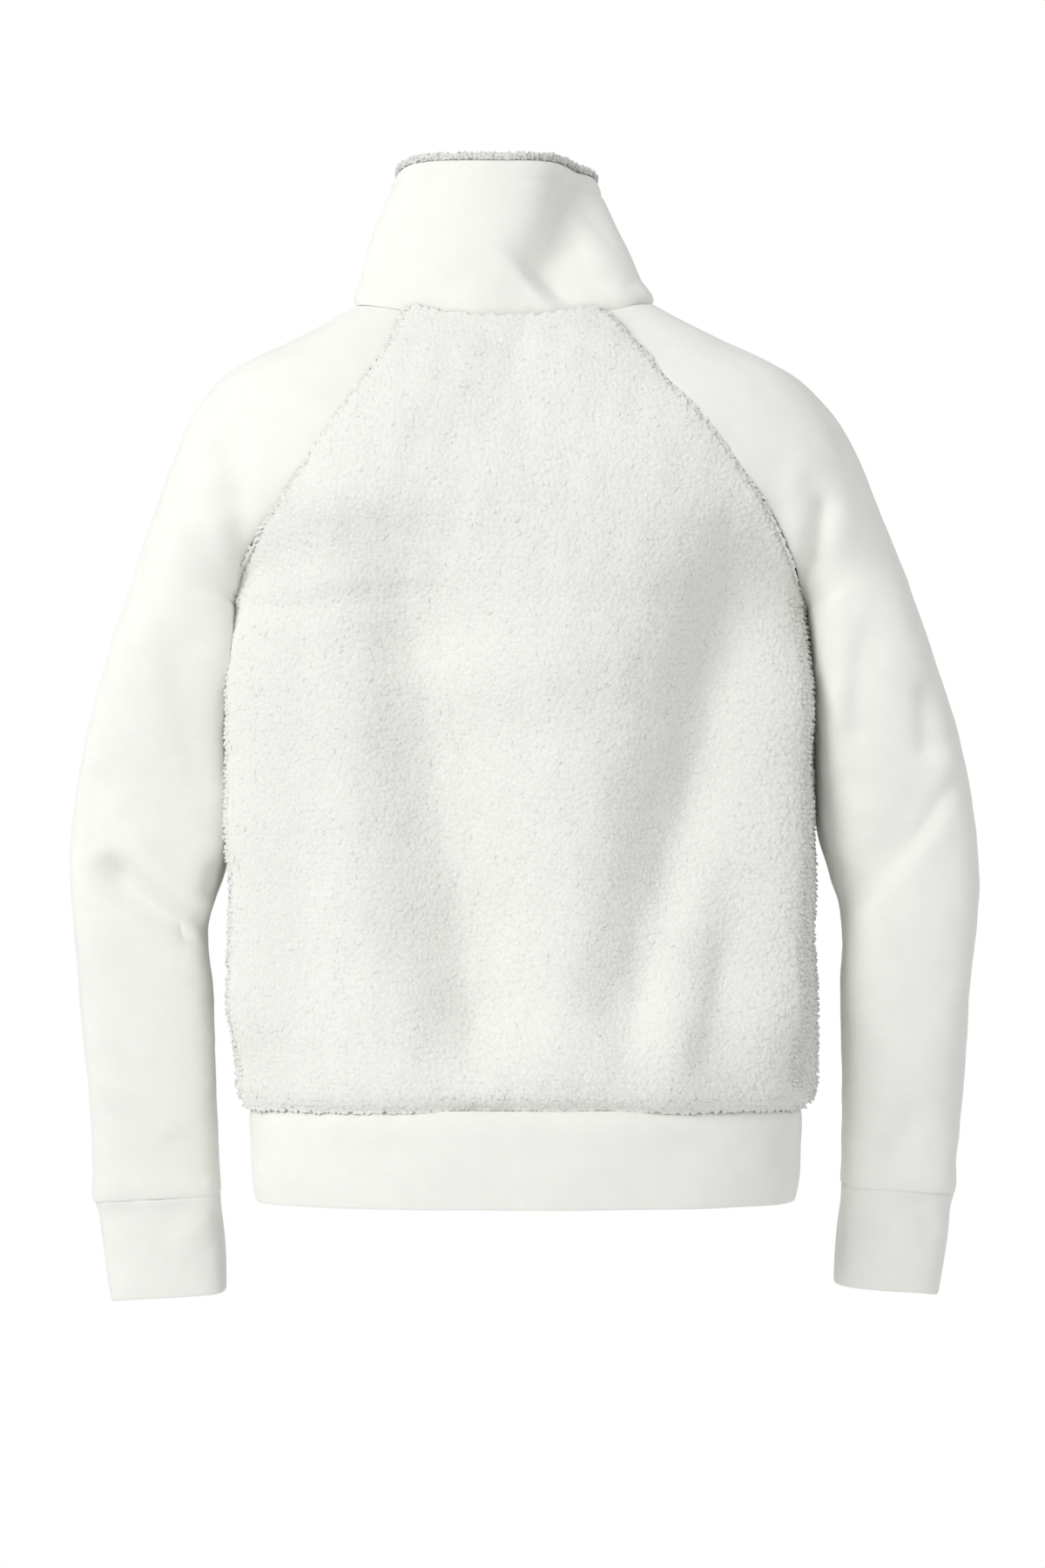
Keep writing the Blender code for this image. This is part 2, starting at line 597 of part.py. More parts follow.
def cut_panel(form, normals, name, raised, sunk, finish):
    """Cuts one panel from the form along its seams."""
    faces = form.faces[name]
    used = dict.fromkeys(i for face in faces for i in face)
    places = {i: form.points[i] for i in used}
    own = form.normals([name])
    directions = {}
    for i in used:
        share = smoothstep(0.95, 0.70, own[i].dot(normals[i]))
        directions[i] = normals[i].lerp(own[i], share).normalized()
    return add_wall(name, places, directions, faces, raised, sunk, finish)


def build_form():
    """Draws all the sections and gives the form with the grids that the zip follows."""
    form = Form()
    trunk = YOKE_STATIONS + BODY_STATIONS[1:]
    edges = {}

    def back_row(station):
        left = body_points(station, BACK, BACK_HALF_FACES, 1)
        right = body_points(station, BACK, BACK_HALF_FACES, -1)
        return [mirrored(point, 1) for point in left[::-1]] + [mirrored(point, -1) for point in right[1:]]

    form.add_grid("back", [back_row(s) for s in trunk], BODY_FOLDS, flip=True)
    band_back = [back_row(s) for s in BAND_STATIONS]
    for side, name in ((1, "left"), (-1, "right")):
        flip = side > 0

        def front_row(station):
            return [mirrored(point, side) for point in body_points(station, FRONT, FRONT_FACES)]

        front = form.add_grid("front_" + name, [front_row(s) for s in trunk], BODY_FOLDS, flip)
        band_front = [front_row(s) for s in BAND_STATIONS]
        band = form.add_grid("hem_band", band_front, (), flip)
        cap = [[mirrored(point, side) for point in sleeve_points(s, side)] for s in YOKE_STATIONS]
        arm = [[mirrored(point, side) for point in sleeve_points(s, side)] for s in ARM_STATIONS]
        cuff = [[mirrored(point, side) for point in sleeve_points(s, side)] for s in CUFF_STATIONS]
        form.add_grid("sleeve_" + name, cap + arm[1:], SLEEVE_FOLDS, not flip)
        form.add_grid("cuff_" + name, cuff, (), not flip)
        edges[name] = (band, front)
    form.add_grid("hem_band", band_back, (), flip=True)

    halves = [collar_row(share) for share in COLLAR_SHARES]
    collar_rows = [
        [mirrored(point, 1) for point in half[::-1]] + [mirrored(point, -1) for point in half[1:]]
        for half in halves
    ]
    collar = form.add_grid("collar", collar_rows, COLLAR_FOLDS)
    return form, edges, collar


def add_lining(form, normals, collar, finish):
    """The sherpa inside the collar, which stands a little above the collar's edge."""
    rows = [row[LINING_FIRST_COLUMN:-LINING_FIRST_COLUMN] for row in collar[LINING_FIRST_ROW:]]
    places = {}
    directions = {}
    for level, row in enumerate(rows + rows[-1:]):
        for column, i in enumerate(row):
            rise = LINING_RISE if level == len(rows) else 0.0
            places[(level, column)] = form.points[i] + Vector((0.0, 0.0, rise))
            directions[(level, column)] = normals[i]
    faces = []
    for level in range(len(rows)):
        for column in range(len(rows[0]) - 1):
            low, high = (level, column), (level + 1, column)
            faces.append((low, (level, column + 1), (level + 1, column + 1), high))
    depth = KNIT + LAYER_GAP
    return add_wall(
        "collar_lining", places, directions, faces, lambda place: -depth, depth + LINING_PILE, finish
    )


def zip_rows(form, normals, edges, collar):
    """The points and directions of both front edges, from the hem to the top of the collar.

    Each row has one list for each side, from the front edge outwards.
    """
    rows = []
    band_left, front_left = edges["left"]
    band_right, front_right = edges["right"]
    stacks = [list(zip(band_left[::-1], band_right[::-1]))]
    stacks.append(list(zip(front_left[::-1], front_right[::-1]))[1:])
    stacks.append([(row, row[::-1]) for row in collar][1:])
    for stack in stacks:
        for left, right in stack:
            rows.append([[(form.points[i], normals[i]) for i in half] for half in (left, right)])
    return rows


def across_row(row, centre_x, reach):
    """Place and direction on one side of a row, a given distance from its centre."""
    if reach <= abs(row[0][0].x - centre_x):
        place = row[0][0].copy()
        place.x = centre_x + math.copysign(reach, place.x - centre_x)
        return place, row[0][1]
    for (here, here_normal), (there, there_normal) in zip(row, row[1:]):
        near, far = abs(here.x - centre_x), abs(there.x - centre_x)
        if far >= reach:
            share = (reach - near) / (far - near)
            return here.lerp(there, share), here_normal.lerp(there_normal, share).normalized()
    return row[-1]


def strip(name, rails, finish, flip):
    """A closed strip whose section at each row has four corners, in order round it."""
    points = [corner for section in rails for corner in section]
    faces = []
    for row in range(len(rails) - 1):
        for k in range(4):
            a, b = 4 * row + k, 4 * row + (k + 1) % 4
            faces.append((a, b, b + 4, a + 4))
    last = 4 * (len(rails) - 1)
    faces += [(3, 2, 1, 0), (last, last + 1, last + 2, last + 3)]
    if flip:
        faces = [tuple(reversed(face)) for face in faces]
    return add_object(name, points, faces, finish)


def add_tape(name, rows, side, finish):
    """One zip tape, sewn behind its front edge."""
    rails = []
    for row in rows:
        half = row[0 if side > 0 else 1]
        centre_x = 0.5 * (row[0][0][0].x + row[1][0][0].x)
        section = []
        for reach in (TAPE_INNER_X, TAPE_OUTER_X):
            place, normal = across_row(half, centre_x, reach)
            section.append(place - normal * (KNIT + LAYER_GAP))
            section.append(place - normal * (KNIT + LAYER_GAP + TAPE_THICKNESS))
        rails.append([section[0], section[2], section[3], section[1]])
    return strip(name, rails, finish, flip=side < 0)


def chain_frame(row):
    """Middle of the zip at a row, and the direction out of the jacket there."""
    (left, left_normal), (right, right_normal) = row[0][0], row[1][0]
    normal = left_normal + right_normal
    normal.x = 0.0
    return 0.5 * (left + right), normal.normalized()


def add_chain(name, rows, finish, foot, head):
    """The closed row of teeth in front of the tapes, from the zip box up to the slider."""
    frames = [chain_frame(row) for row in rows]
    lengths = [0.0]
    for (here, _), (there, _) in zip(frames, frames[1:]):
        lengths.append(lengths[-1] + (there - here).length)
    start, stop = foot, lengths[-1] - head
    wanted = [start] + [value for value in lengths if start < value < stop] + [stop]
    rails = []
    for value in wanted:
        k = max(i for i in range(len(lengths) - 1) if lengths[i] <= value)
        share = (value - lengths[k]) / (lengths[k + 1] - lengths[k])
        middle = frames[k][0].lerp(frames[k + 1][0], share)
        normal = frames[k][1].lerp(frames[k + 1][1], share).normalized()
        wide = Vector((CHAIN_HALF_WIDTH, 0.0, 0.0))
        front = middle - normal * (ZIP_SINK - CHAIN_THICKNESS)
        rear = middle - normal * ZIP_SINK
        rails.append([front - wide, front + wide, rear + wide, rear - wide])
    return strip(name, rails, finish, flip=False)


def local_frame(low, high):
    """Origin at the upper row, with axes across, out of the jacket and up along the zip."""
    up = (high[0] - low[0]).normalized()
    across = Vector((1.0, 0.0, 0.0))
    out = up.cross(across).normalized()
    if out.y > 0:
        out = -out
    return high[0], across, out, up


def box_points(frame, half_width, out_range, up_range, top_half_width=None):
    """Eight corners of a block in a local frame, which may narrow towards its top."""
    origin, across, out, up = frame
    rear, front = out_range
    corners = []
    for height, half in ((up_range[0], half_width), (up_range[1], top_half_width or half_width)):
        for x, depth in ((-half, rear), (half, rear), (half, front), (-half, front)):
            corners.append(origin + across * x + out * depth + up * height)
    return corners


BOX_FACES = ((0, 1, 2, 3), (7, 6, 5, 4), (0, 4, 5, 1), (1, 5, 6, 2), (2, 6, 7, 3), (3, 7, 4, 0))


def closed_outline(name, frame, outline, hole, half_width, finish):
    """A plate that is cut to an outline with one hole, both in the local out and up directions."""
    origin, across, out, up = frame
    count = len(outline)
    points = []
    for x in (-half_width, half_width):
        for loop in (outline, hole):
            points += [origin + across * x + out * o + up * u for o, u in loop]
    faces = []
    for k in range(count):
        n = (k + 1) % count
        faces.append((k, n, n + count, k + count))
        faces.append((k + 3 * count, n + 3 * count, n + 2 * count, k + 2 * count))
        faces.append((n, k, k + 2 * count, n + 2 * count))
        faces.append((k + count, n + count, n + 3 * count, k + 3 * count))
    return add_object(name, points, faces, finish)


def facing_out(made):
    """Turns a closed mesh's faces so that they all point out of it."""
    mesh = bmesh.new()
    mesh.from_mesh(made.data)
    bmesh.ops.recalc_face_normals(mesh, faces=mesh.faces)
    mesh.to_mesh(made.data)
    mesh.free()
    return made


def add_slider(frame, finish):
    """The slider: a body that narrows downwards, with a bail over its front for the pull."""
    half = 0.5 * SLIDER_LENGTH
    depth = (-ZIP_SINK, SLIDER_FRONT)
    corners = box_points(frame, SLIDER_NOSE_HALF_WIDTH, depth, (-half, half), SLIDER_HALF_WIDTH)
    body = facing_out(add_object("zip_slider", corners, BOX_FACES, finish))
    root = SLIDER_FRONT - 0.5 * BAIL_BAR
    inner_out = SLIDER_FRONT + BAIL_OPENING
    outer_out = inner_out + BAIL_BAR
    long, short = 0.5 * BAIL_LENGTH, 0.5 * BAIL_LENGTH - BAIL_BAR
    outline = (
        (root, -long),
        (inner_out, -long),
        (outer_out, -short),
        (outer_out, short),
        (inner_out, long),
        (root, long),
    )
    foot, shoulder = SLIDER_FRONT - BAIL_FOOT, inner_out - BAIL_CORNER
    hole = (
        (foot, -short),
        (shoulder, -short),
        (inner_out, BAIL_CORNER - short),
        (inner_out, short - BAIL_CORNER),
        (shoulder, short),
        (foot, short),
    )
    bail = facing_out(closed_outline("bail_cutter", frame, outline, hole, BAIL_HALF_WIDTH, finish))
    bail.hide_render = True
    bail.display_type = "WIRE"
    join = body.modifiers.new("bail", "BOOLEAN")
    join.operation = "UNION"
    join.object = bail
    return body


def add_pull(frame, finish):
    """The pull: an eye whose top bar lies under the bail, and a tab that hangs from it."""
    origin, across, out, up = frame
    axis_out = SLIDER_FRONT + 0.5 * BAIL_OPENING
    bar = 0.5 * PULL_BAR
    eye, foot = -PULL_EYE_LENGTH, -PULL_EYE_LENGTH - PULL_TAB_LENGTH
    wide, narrow = PULL_TAB_HALF_WIDTH, PULL_TAB_HALF_WIDTH - PULL_CORNER_WIDTH
    outline = (
        (-PULL_EYE_HALF_WIDTH, bar),
        (PULL_EYE_HALF_WIDTH, bar),
        (wide, eye),
        (wide, foot + PULL_CORNER_LENGTH),
        (narrow, foot),
        (-narrow, foot),
        (-wide, foot + PULL_CORNER_LENGTH),
        (-wide, eye),
    )
    inside, arc = PULL_EYE_HALF_WIDTH - PULL_BAR, PULL_HOLE_ARC_HALF_WIDTH
    bottom = eye + PULL_BAR
    hole = (
        (-inside, -bar),
        (inside, -bar),
        (inside, 0.5 * bottom),
        (inside, bottom + arc),
        (arc, bottom),
        (-arc, bottom),
        (-inside, bottom + arc),
        (-inside, 0.5 * bottom),
    )
    count = len(outline)
    points = []
    for depth in (axis_out - bar, axis_out + bar):
        for loop in (outline, hole):
            points += [origin + across * x + out * depth + up * u for x, u in loop]
    faces = []
    for k in range(count):
        n = (k + 1) % count
        faces.append((k, n, n + count, k + count))
        faces.append((k + 3 * count, n + 3 * count, n + 2 * count, k + 2 * count))
        faces.append((n, k, k + 2 * count, n + 2 * count))
        faces.append((k + count, n + count, n + 3 * count, k + 3 * count))
    pull = facing_out(add_object("zip_pull", points, faces, finish))
    pivot = origin + out * axis_out
    pull.data.transform(Matrix.Translation(-pivot))
    pull.location = pivot
    return pull


def main():
    for old in list(bpy.data.objects):
        bpy.data.objects.remove(old)
    knit = material("smooth_fleece", KNIT_COLOUR, 0.9)
    sherpa = material("sherpa_fleece", SHERPA_COLOUR, 1.0)
    tape = material("zip_tape", TAPE_COLOUR, 0.85)
    metal = material("zip_hardware", METAL_COLOUR, 0.35, 0.6)

    form, edges, collar = build_form()
    form.fold()
    normals = form.normals()

    neckline = [form.points[i] for i in collar[0]]
    for name in ("back", "front_left", "front_right"):
        cut_panel(form, normals, name, lambda place: pile_depth(place, neckline), SHERPA_BACKING, sherpa)
    for name in ("sleeve_left", "sleeve_right", "cuff_left", "cuff_right", "hem_band", "collar"):
        cut_panel(form, normals, name, lambda place: 0.0, KNIT, knit)

    add_lining(form, normals, collar, sherpa)

    rows = zip_rows(form, normals, edges, collar)
    add_tape("zip_tape_left", rows, 1, tape)
    add_tape("zip_tape_right", rows, -1, tape)
    add_chain("zip_chain", rows, metal, BOX_LENGTH + PART_GAP, SLIDER_LENGTH + PART_GAP)

    foot = local_frame(chain_frame(rows[0]), chain_frame(rows[1]))
    foot = (chain_frame(rows[0])[0], *foot[1:])
    corners = box_points(foot, BOX_HALF_WIDTH, (-ZIP_SINK, BOX_THICKNESS - ZIP_SINK), (0.0, BOX_LENGTH))
    facing_out(add_object("zip_box", corners, BOX_FACES, metal))

    head = local_frame(chain_frame(rows[-2]), chain_frame(rows[-1]))
    head = (head[0] - head[3] * (0.5 * SLIDER_LENGTH), *head[1:])
    add_slider(head, metal)
    add_pull(head, metal)


main()
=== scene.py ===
"""Looks of the sherpa zip jacket: fine cloth, sherpa curls, seams, stitches and zip.

The cloth follows the same sections as the solids, drawn more finely. Every panel is a thin wall,
the sherpa carries curls, and the smooth fleece carries seams, stitches and creases.
"""

import json
import math

import bmesh
import bpy
import numpy as np
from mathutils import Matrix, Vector

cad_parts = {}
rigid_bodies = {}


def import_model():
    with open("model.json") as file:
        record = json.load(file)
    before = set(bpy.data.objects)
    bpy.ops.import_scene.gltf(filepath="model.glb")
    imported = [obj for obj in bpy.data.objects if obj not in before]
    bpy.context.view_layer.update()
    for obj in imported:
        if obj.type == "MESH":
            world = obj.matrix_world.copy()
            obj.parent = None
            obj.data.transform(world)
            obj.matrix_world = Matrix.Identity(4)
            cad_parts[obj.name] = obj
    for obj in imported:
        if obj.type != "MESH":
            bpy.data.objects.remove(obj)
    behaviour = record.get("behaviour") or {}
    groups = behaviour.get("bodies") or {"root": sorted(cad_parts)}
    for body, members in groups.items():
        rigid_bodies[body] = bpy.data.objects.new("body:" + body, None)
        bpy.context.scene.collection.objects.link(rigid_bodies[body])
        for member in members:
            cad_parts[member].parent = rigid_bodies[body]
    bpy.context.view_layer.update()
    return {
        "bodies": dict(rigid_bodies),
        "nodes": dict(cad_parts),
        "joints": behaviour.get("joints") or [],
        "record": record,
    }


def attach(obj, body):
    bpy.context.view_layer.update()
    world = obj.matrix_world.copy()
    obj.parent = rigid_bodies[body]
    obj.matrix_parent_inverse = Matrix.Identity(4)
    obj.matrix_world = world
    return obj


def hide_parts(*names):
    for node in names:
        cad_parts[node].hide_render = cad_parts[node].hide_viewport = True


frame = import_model()

# Every random draw comes from this generator, in the order of the calls below.
RANDOM = np.random.default_rng(11)

# The tables below give their sizes in mm, and are divided by the mm in a metre.
MM = 1000.0

# Thickness of the cloths, and the gap between layers.
KNIT = 0.0018
SHERPA_BACKING = 0.0016
LAYER_GAP = 0.0005

# Height of the sherpa's pile above its backing. It is pressed lower at the underarm point, the
# zip and the raglan seams: its height there, and the distances over which it grows again.
SHERPA_PILE = 0.0040
UNDERARM_PILE = 0.0008
UNDERARM_PRESSED = (0.006, 0.022)
ZIP_EDGE_PILE = 0.0012
ZIP_EDGE_PRESSED = (0.005, 0.015)
RAGLAN_PILE = 0.0010
RAGLAN_PRESSED = (0.000, 0.009)

# The pile is fuller at the back's two sides: how squarely it has to face the side, the heights
# over which this begins and ends, and how much fuller it is on the left and on the right.
SIDE_FACING = (0.40, 0.85)
SIDE_TOP = (-0.185, -0.205)
SIDE_FOOT = (-0.420, -0.300)
SIDE_FULLNESS = (0.0012, 0.0008)

# Longer tufts at those sides: how squarely the cloth has to face the side on the left and on the
# right, the share of the curls' places that carry one, their height, and their lean out and down.
SIDE_TURNED = (0.93, 0.80)
SIDE_TUFT_SHARE = 0.8
SIDE_TUFT_HEIGHT = 0.0028
SIDE_TUFT_OUT, SIDE_TUFT_DOWN = 0.5, 0.45

# Distance of each front edge from the centre front.
FRONT_EDGE_X = 0.0050

# height, x of the leaning centre line
LEAN = np.array((
    (-700, -15),
    (-400, -15),
    (-300, -13.5),
    (-200, -11.5),
    (-150, -10),
    (-60, -6),
    (0, -1),
    (50, 4),
    (110, 5.5),
)) / MM

# Half sections from the neck to the underarm: station, back y and z, front y and z, angle at the
# raglan seam, reach of the curve there behind and in front, share of its reach at the centre
YOKE = np.array((
    (0.00, 62, -10, -97, -62, 28.0, 20, 20, 0.45),
    (0.25, 92, -52, -113, -90, 18.0, 32, 32, 0.45),
    (0.50, 109, -96, -125, -120, 20.0, 40, 40, 0.45),
    (0.75, 116.5, -146, -131, -157, 37.0, 46, 46, 0.46),
    (0.90, 118, -182, -133.5, -187, 42.0, 40, 37, 0.73),
    (0.97, 118.2, -198, -133.8, -199.5, 89.5, 62.5, 63.5, 0.63),
    (1.00, 118, -206, -134, -206, 90.0, 76.3, 80, 0.62),
)) / (1, MM, MM, MM, MM, 1, MM, MM, 1)

# Half sections below the underarm: station, side x y z, back y, front y
BODY = np.array((
    (1.00, 193, -5, -206, 118, -134),
    (1.06, 193.8, -5, -215, 118, -134.5),
    (1.20, 194.8, -4, -245, 115.5, -136),
    (1.45, 195, -3, -300, 108, -135),
    (1.75, 194.8, -2, -370, 102, -131),
    (2.05, 195, -1, -440, 103, -129),
    (2.30, 195.5, -1, -495, 109, -131),
    (2.42, 195.5, -1, -523, 111, -131.5),
    (2.50, 193, -1, -539, 108.5, -129),
    (2.54, 188.5, -1, -545, 103, -123.5),
    (2.57, 190, -1, -550, 105.5, -126),
    (2.70, 189.5, -1, -576, 106, -126.5),
    (2.85, 187.8, -1, -600, 103, -123.5),
    (2.92, 185.5, -1, -612, 101, -121),
)) / (1, MM, MM, MM, MM, MM)
UNDERARM_STATION, HEM_SEAM_STATION, HEM_END_STATION = 1.0, 2.54, 2.92
BODY_HANDLE_SHARE = 0.62

# Sleeve from the neck to the underarm: station, outer x y z, back x y z, front x y z,
# reach outwards, reach away, reach at the outer point
RAGLAN_SLEEVE = (
    (0.00, 102.5, -10, 4, 67.5, 48, -3, 64, -70, -38, 0.85, -11, 33),
    (0.25, 150, -8, -21.5, 103, 81, -48, 100, -103, -75, 0.80, -14, 51),
    (0.50, 200.5, -6, -49, 138, 96, -92, 134, -116, -112, 0.80, -16, 59),
    (0.65, 225.5, -7, -79, 159, 93, -122, 155, -112, -137, 0.75, -8, 62),
    (0.75, 236, -8, -101, 171, 84, -141, 168, -102, -153, 0.70, 4, 65),
    (0.90, 251, -11, -141, 187, 52, -177, 186, -66, -184, 0.45, 48, 82),
    (1.00, 261.6, -12, -168, 193, -5, -206, 193, -5, -206, 0.12, 98, 98),
)

# Below the underarm the section is closed, so its back and front points are one inner point.
# station, outer x y z, inner x y z, reach away, reach at the outer point
CLOSED_SLEEVE = (
    (1.05, 266.2, -12, -182, 195.5, -6, -207.5, 98, 98),
    (1.12, 271.8, -12, -200, 196.6, -7, -219, 96, 97),
    (1.30, 285.3, -13, -241, 199.4, -10, -262, 92, 93),
    (1.50, 299.7, -14, -289, 200, -13, -313, 83, 85),
    (1.70, 309.7, -14, -337, 201.2, -14, -357, 76, 78),
    (1.85, 313.2, -13, -375, 209.5, -12, -388, 72, 73),
    (1.97, 313, -11, -405, 217, -9, -414, 69, 70),
    (2.05, 311.7, -11, -425, 218.4, -9, -431, 67, 68),
    (2.20, 308.3, -17, -463, 216.8, -14, -467, 64, 65),
    (2.45, 303.3, -30, -530, 217, -26, -531, 61, 61),
    (2.70, 300, -45, -586, 216.4, -40, -582, 58, 59),
    (2.85, 299.5, -52, -613, 216.2, -46, -606, 57, 57),
    (2.88, 297.7, -53, -618, 216.2, -47, -611, 54, 54),
    (3.00, 294.8, -58, -642, 213.8, -52, -637, 51, 51),
    (3.17, 289, -66, -684, 212.4, -60, -675.5, 47, 47),
)
SLEEVE = [*RAGLAN_SLEEVE, *((*row[:7], *row[4:7], 0.0, *row[7:]) for row in CLOSED_SLEEVE)]
SLEEVE = np.array(SLEEVE) / (1, MM, MM, MM, MM, MM, MM, MM, MM, MM, 1, MM, MM)
CUFF_SEAM_STATION, CUFF_END_STATION = 2.85, 3.17

# How the sleeves differ: station, inner edge inwards on the left and outwards on the right, left
# down and right up
SLEEVE_DIFFERENCE = np.array((
    (1.50, 0, 0),
    (1.70, 1.2, 0),
    (1.85, 1.2, 0),
    (2.05, 0, 0),
    (2.45, 1.8, 1.5),
    (2.85, 3.6, 3),
    (3.17, 3.6, 2.5),
)) / (1, MM, MM)

# The left raglan seam runs a little closer to the centre back than the right one does:
# station, x and y of its shift
LEFT_SEAM = np.array((
    (0.00, 0, 0),
    (0.12, -4.5, 2),
    (0.25, -6, 2),
    (0.38, -7.2, 2.5),
    (0.50, -7.8, 3),
    (0.62, -7.8, 4.2),
    (0.75, -7, 5),
    (0.85, -2.5, 2.2),
    (0.90, 0.5, 0),
    (0.96, 2, 0),
    (1.00, 0, 0),
)) / (1, MM, MM)

# Top edge of the collar: y and z at its centre back, x, y and z at its side, y and z at its
# centre front.
COLLAR_BACK_TOP = (0.0400, 0.1000)
COLLAR_SIDE_TOP = (0.0687, -0.0260, 0.0930)
COLLAR_FRONT_TOP = (-0.0880, 0.0490)

# Points in each part of the neckline, how round the top edge is, how it rises beside its side
# points, how far the collar bulges, and how far and over which share it rolls at its foot.
NECK_POINTS = 60
COLLAR_ROUND = 0.56
COLLAR_SIDE_SLOPE = 0.32
COLLAR_BULGE = 0.0025
COLLAR_ROLL = 0.0030
COLLAR_ROLL_SHARE = 0.07

BACK, FRONT = 1.0, -1.0


def in_metres(folds):
    """Folds whose sizes are turned from mm into metres."""
    return [(view, *(size / MM for size in sizes)) for view, *sizes in folds]


# Folds: the view that they face, x and z of the start, middle and end, depth, width on the +X
# side, width on the -X side. A negative depth is a ridge.
BODY_FOLDS = in_metres((
    (BACK, 82, -110, 46, -333, 6, -535, 32, 42, 62),
    (BACK, -180, -120, -142, -292, -74, -535, 20, 38, 28),
    (BACK, -159, -363, -156, -439, -137, -527, 7, 16, 20),
    (BACK, -114, -404, -118, -455, -110, -524, -3.5, 16, 16),
    (BACK, 167, -160, 169, -350, 166, -525, -15, 13, 26),
    (BACK, -187, -160, -190, -350, -185, -525, -13, 24, 14),
    (BACK, -5, -15, -12, -48, -5, -90, 2, 18, 20),
    (FRONT, -118, -180, -100, -370, -60, -535, 8, 34, 38),
    (FRONT, 110, -170, 105, -350, 40, -535, 8.5, 38, 34),
    (FRONT, 135, -360, 140, -450, 118, -540, 6, 22, 22),
))
SLEEVE_FOLDS = in_metres((
    (BACK, 196, -72, 172, -120, 184, -168, 6, 11, 12),
    (BACK, 188, -130, 186, -175, 188, -270, -7, 14, 10),
    (BACK, 226, -207, 218, -294, 200, -340, 3, 12, 16),
    (BACK, 276, -307, 285, -344, 278, -376, 4, 10, 14),
    (BACK, 278, -368, 247, -404, 196, -432, 16.5, 15, 7),
    (BACK, 266, -348, 232, -388, 198, -419, -3, 9, 9),
    (BACK, 196, -376, 201, -388, 202, -406, 3, 6, 6),
    (BACK, -218, -124, -215, -151, -205, -188, 7.5, 7, 9),
    (BACK, -198, -100, -195, -134, -200, -162, -2.5, 9, 9),
    (BACK, -252, -207, -236, -260, -241, -301, 4.5, 9, 14),
    (BACK, -234, -242, -224, -284, -230, -325, -2.5, 9, 9),
    (BACK, -287, -248, -286, -282, -289, -310, 3.5, 7, 9),
    (BACK, -308, -316, -290, -363, -230, -413, 6.5, 20, 7),
    (BACK, -305, -296, -301, -322, -274, -361, -2.5, 9, 9),
    (BACK, -268, -171, -277, -207, -287, -242, -2, 16, 16),
    (BACK, 230, -560, 216, -585, 200, -600, 2.5, 12, 10),
    (BACK, -290, -540, -276, -565, -262, -590, 2.5, 12, 12),
    (FRONT, 182, -90, 190, -140, 184, -185, 4.5, 13, 12),
    (FRONT, -206, -95, -212, -145, -206, -190, 4.5, 12, 13),
    (FRONT, 282, -360, 246, -398, 196, -420, 7.5, 20, 12),
    (FRONT, 276, -400, 240, -432, 196, -446, 5.5, 18, 12),
    (FRONT, -302, -352, -268, -394, -228, -412, 7.5, 12, 20),
    (FRONT, -300, -394, -262, -430, -228, -442, 5.5, 12, 18),
))
CUFF_FOLDS = in_metres((
    (BACK, 190, -618, 197, -629, 203, -649, 1.5, 6, 6),
    (BACK, -283, -610, -292, -625, -299, -640, 1.8, 7, 7),
    (BACK, -253, -607, -256, -622, -271, -649, 1.2, 8, 8),
))
BAND_FOLDS = in_metres((
    (BACK, 178, -552, 172, -570, 170, -590, 1.8, 6, 8),
    (BACK, -196, -556, -190, -572, -188, -590, 1.8, 8, 6),
))
COLLAR_FOLDS = in_metres((
    (BACK, -61, 116, -57, 48, -18, 12, 21, 22, 32),
    (BACK, -64, 90, -64, 50, -68, 20, -3, 10, 14),
    (BACK, -85, 24, -90, 12, -99, 2, 2, 6, 6),
    (FRONT, -46, 30, -50, 0, -52, -34, 5, 12, 12),
    (FRONT, 50, 34, 52, 0, 56, -34, 5, 12, 12),
))
FOLD_STEPS = 14

# Shares of its line over which a fold begins and ends, how much of it is lost at its end, and how
# squarely the cloth has to face its view.
FOLD_START = (0.0, 0.28)
FOLD_END = (0.84, 1.00)
FOLD_END_LOSS = 0.82
FOLD_FACING = (-0.15, 0.45)

# How far the section of the left and right sleeve is squared off, and the stations over which
# that grows.
SLEEVE_SQUARE = (0.80, 0.55)
SLEEVE_SQUARE_STATIONS = (0.90, 1.25)

# Spacing of the drawn cloth, the extra rows beside a panel's edges, and how far in and how deeply
# they round it.
SMOOTH_STEP = 0.0036
SHERPA_STEP = 0.0055
EDGE_ROWS = (0.0, 0.0005, 0.0012, 0.0022)
EDGE_ROUND = 0.0011
EDGE_DROP = 0.0006

# Curls of the sherpa: low domes side by side in rows. Each has a foot, a shoulder and a tip, and
# its tip leans further than its shoulder.
CURL_SPACING = 0.0038
CURL_ROW_SHARE = 0.90
CURL_SIDES = 4
CURL_RADIUS = 0.0029
CURL_HEIGHT = 0.0006
CURL_SINK = 0.0003
CURL_LEAN = 0.12
CURL_TIP_LEAN = 1.3
CURL_TOP = 0.55
CURL_SHOULDER = 0.75

# Ranges of a curl's width, its length against its width and its height, how far its points and
# its axis stray, and how much of its own roundness its shading shows.
CURL_WIDTHS = (0.80, 1.20)
CURL_LENGTHS = (1.00, 1.40)
CURL_RISES = (0.70, 1.25)
CURL_JITTER = 0.04
CURL_TILT = 0.07
CURL_ROUNDNESS = 0.17

# How far places stray from even ones: along their row, across the rows, and along an edge.
ROW_STRAY, ACROSS_STRAY, EDGE_STRAY = 0.32, 0.35, 0.40

# Least share of the pile that is solid backing.
BACKING_SHARE = 0.3

# The nap is brushed towards the back or the front, and the shading follows it: on every wall, and
# more on the curls between two distances from the middle line. The turn is the slope at which
# the cloth counts as facing one of them.
NAP_LAY = 0.30
NAP_TURN = 0.35
CURL_LAY = 0.9
LAY_MIDDLE = -0.011
LAY_REACH = (0.138, 0.162)

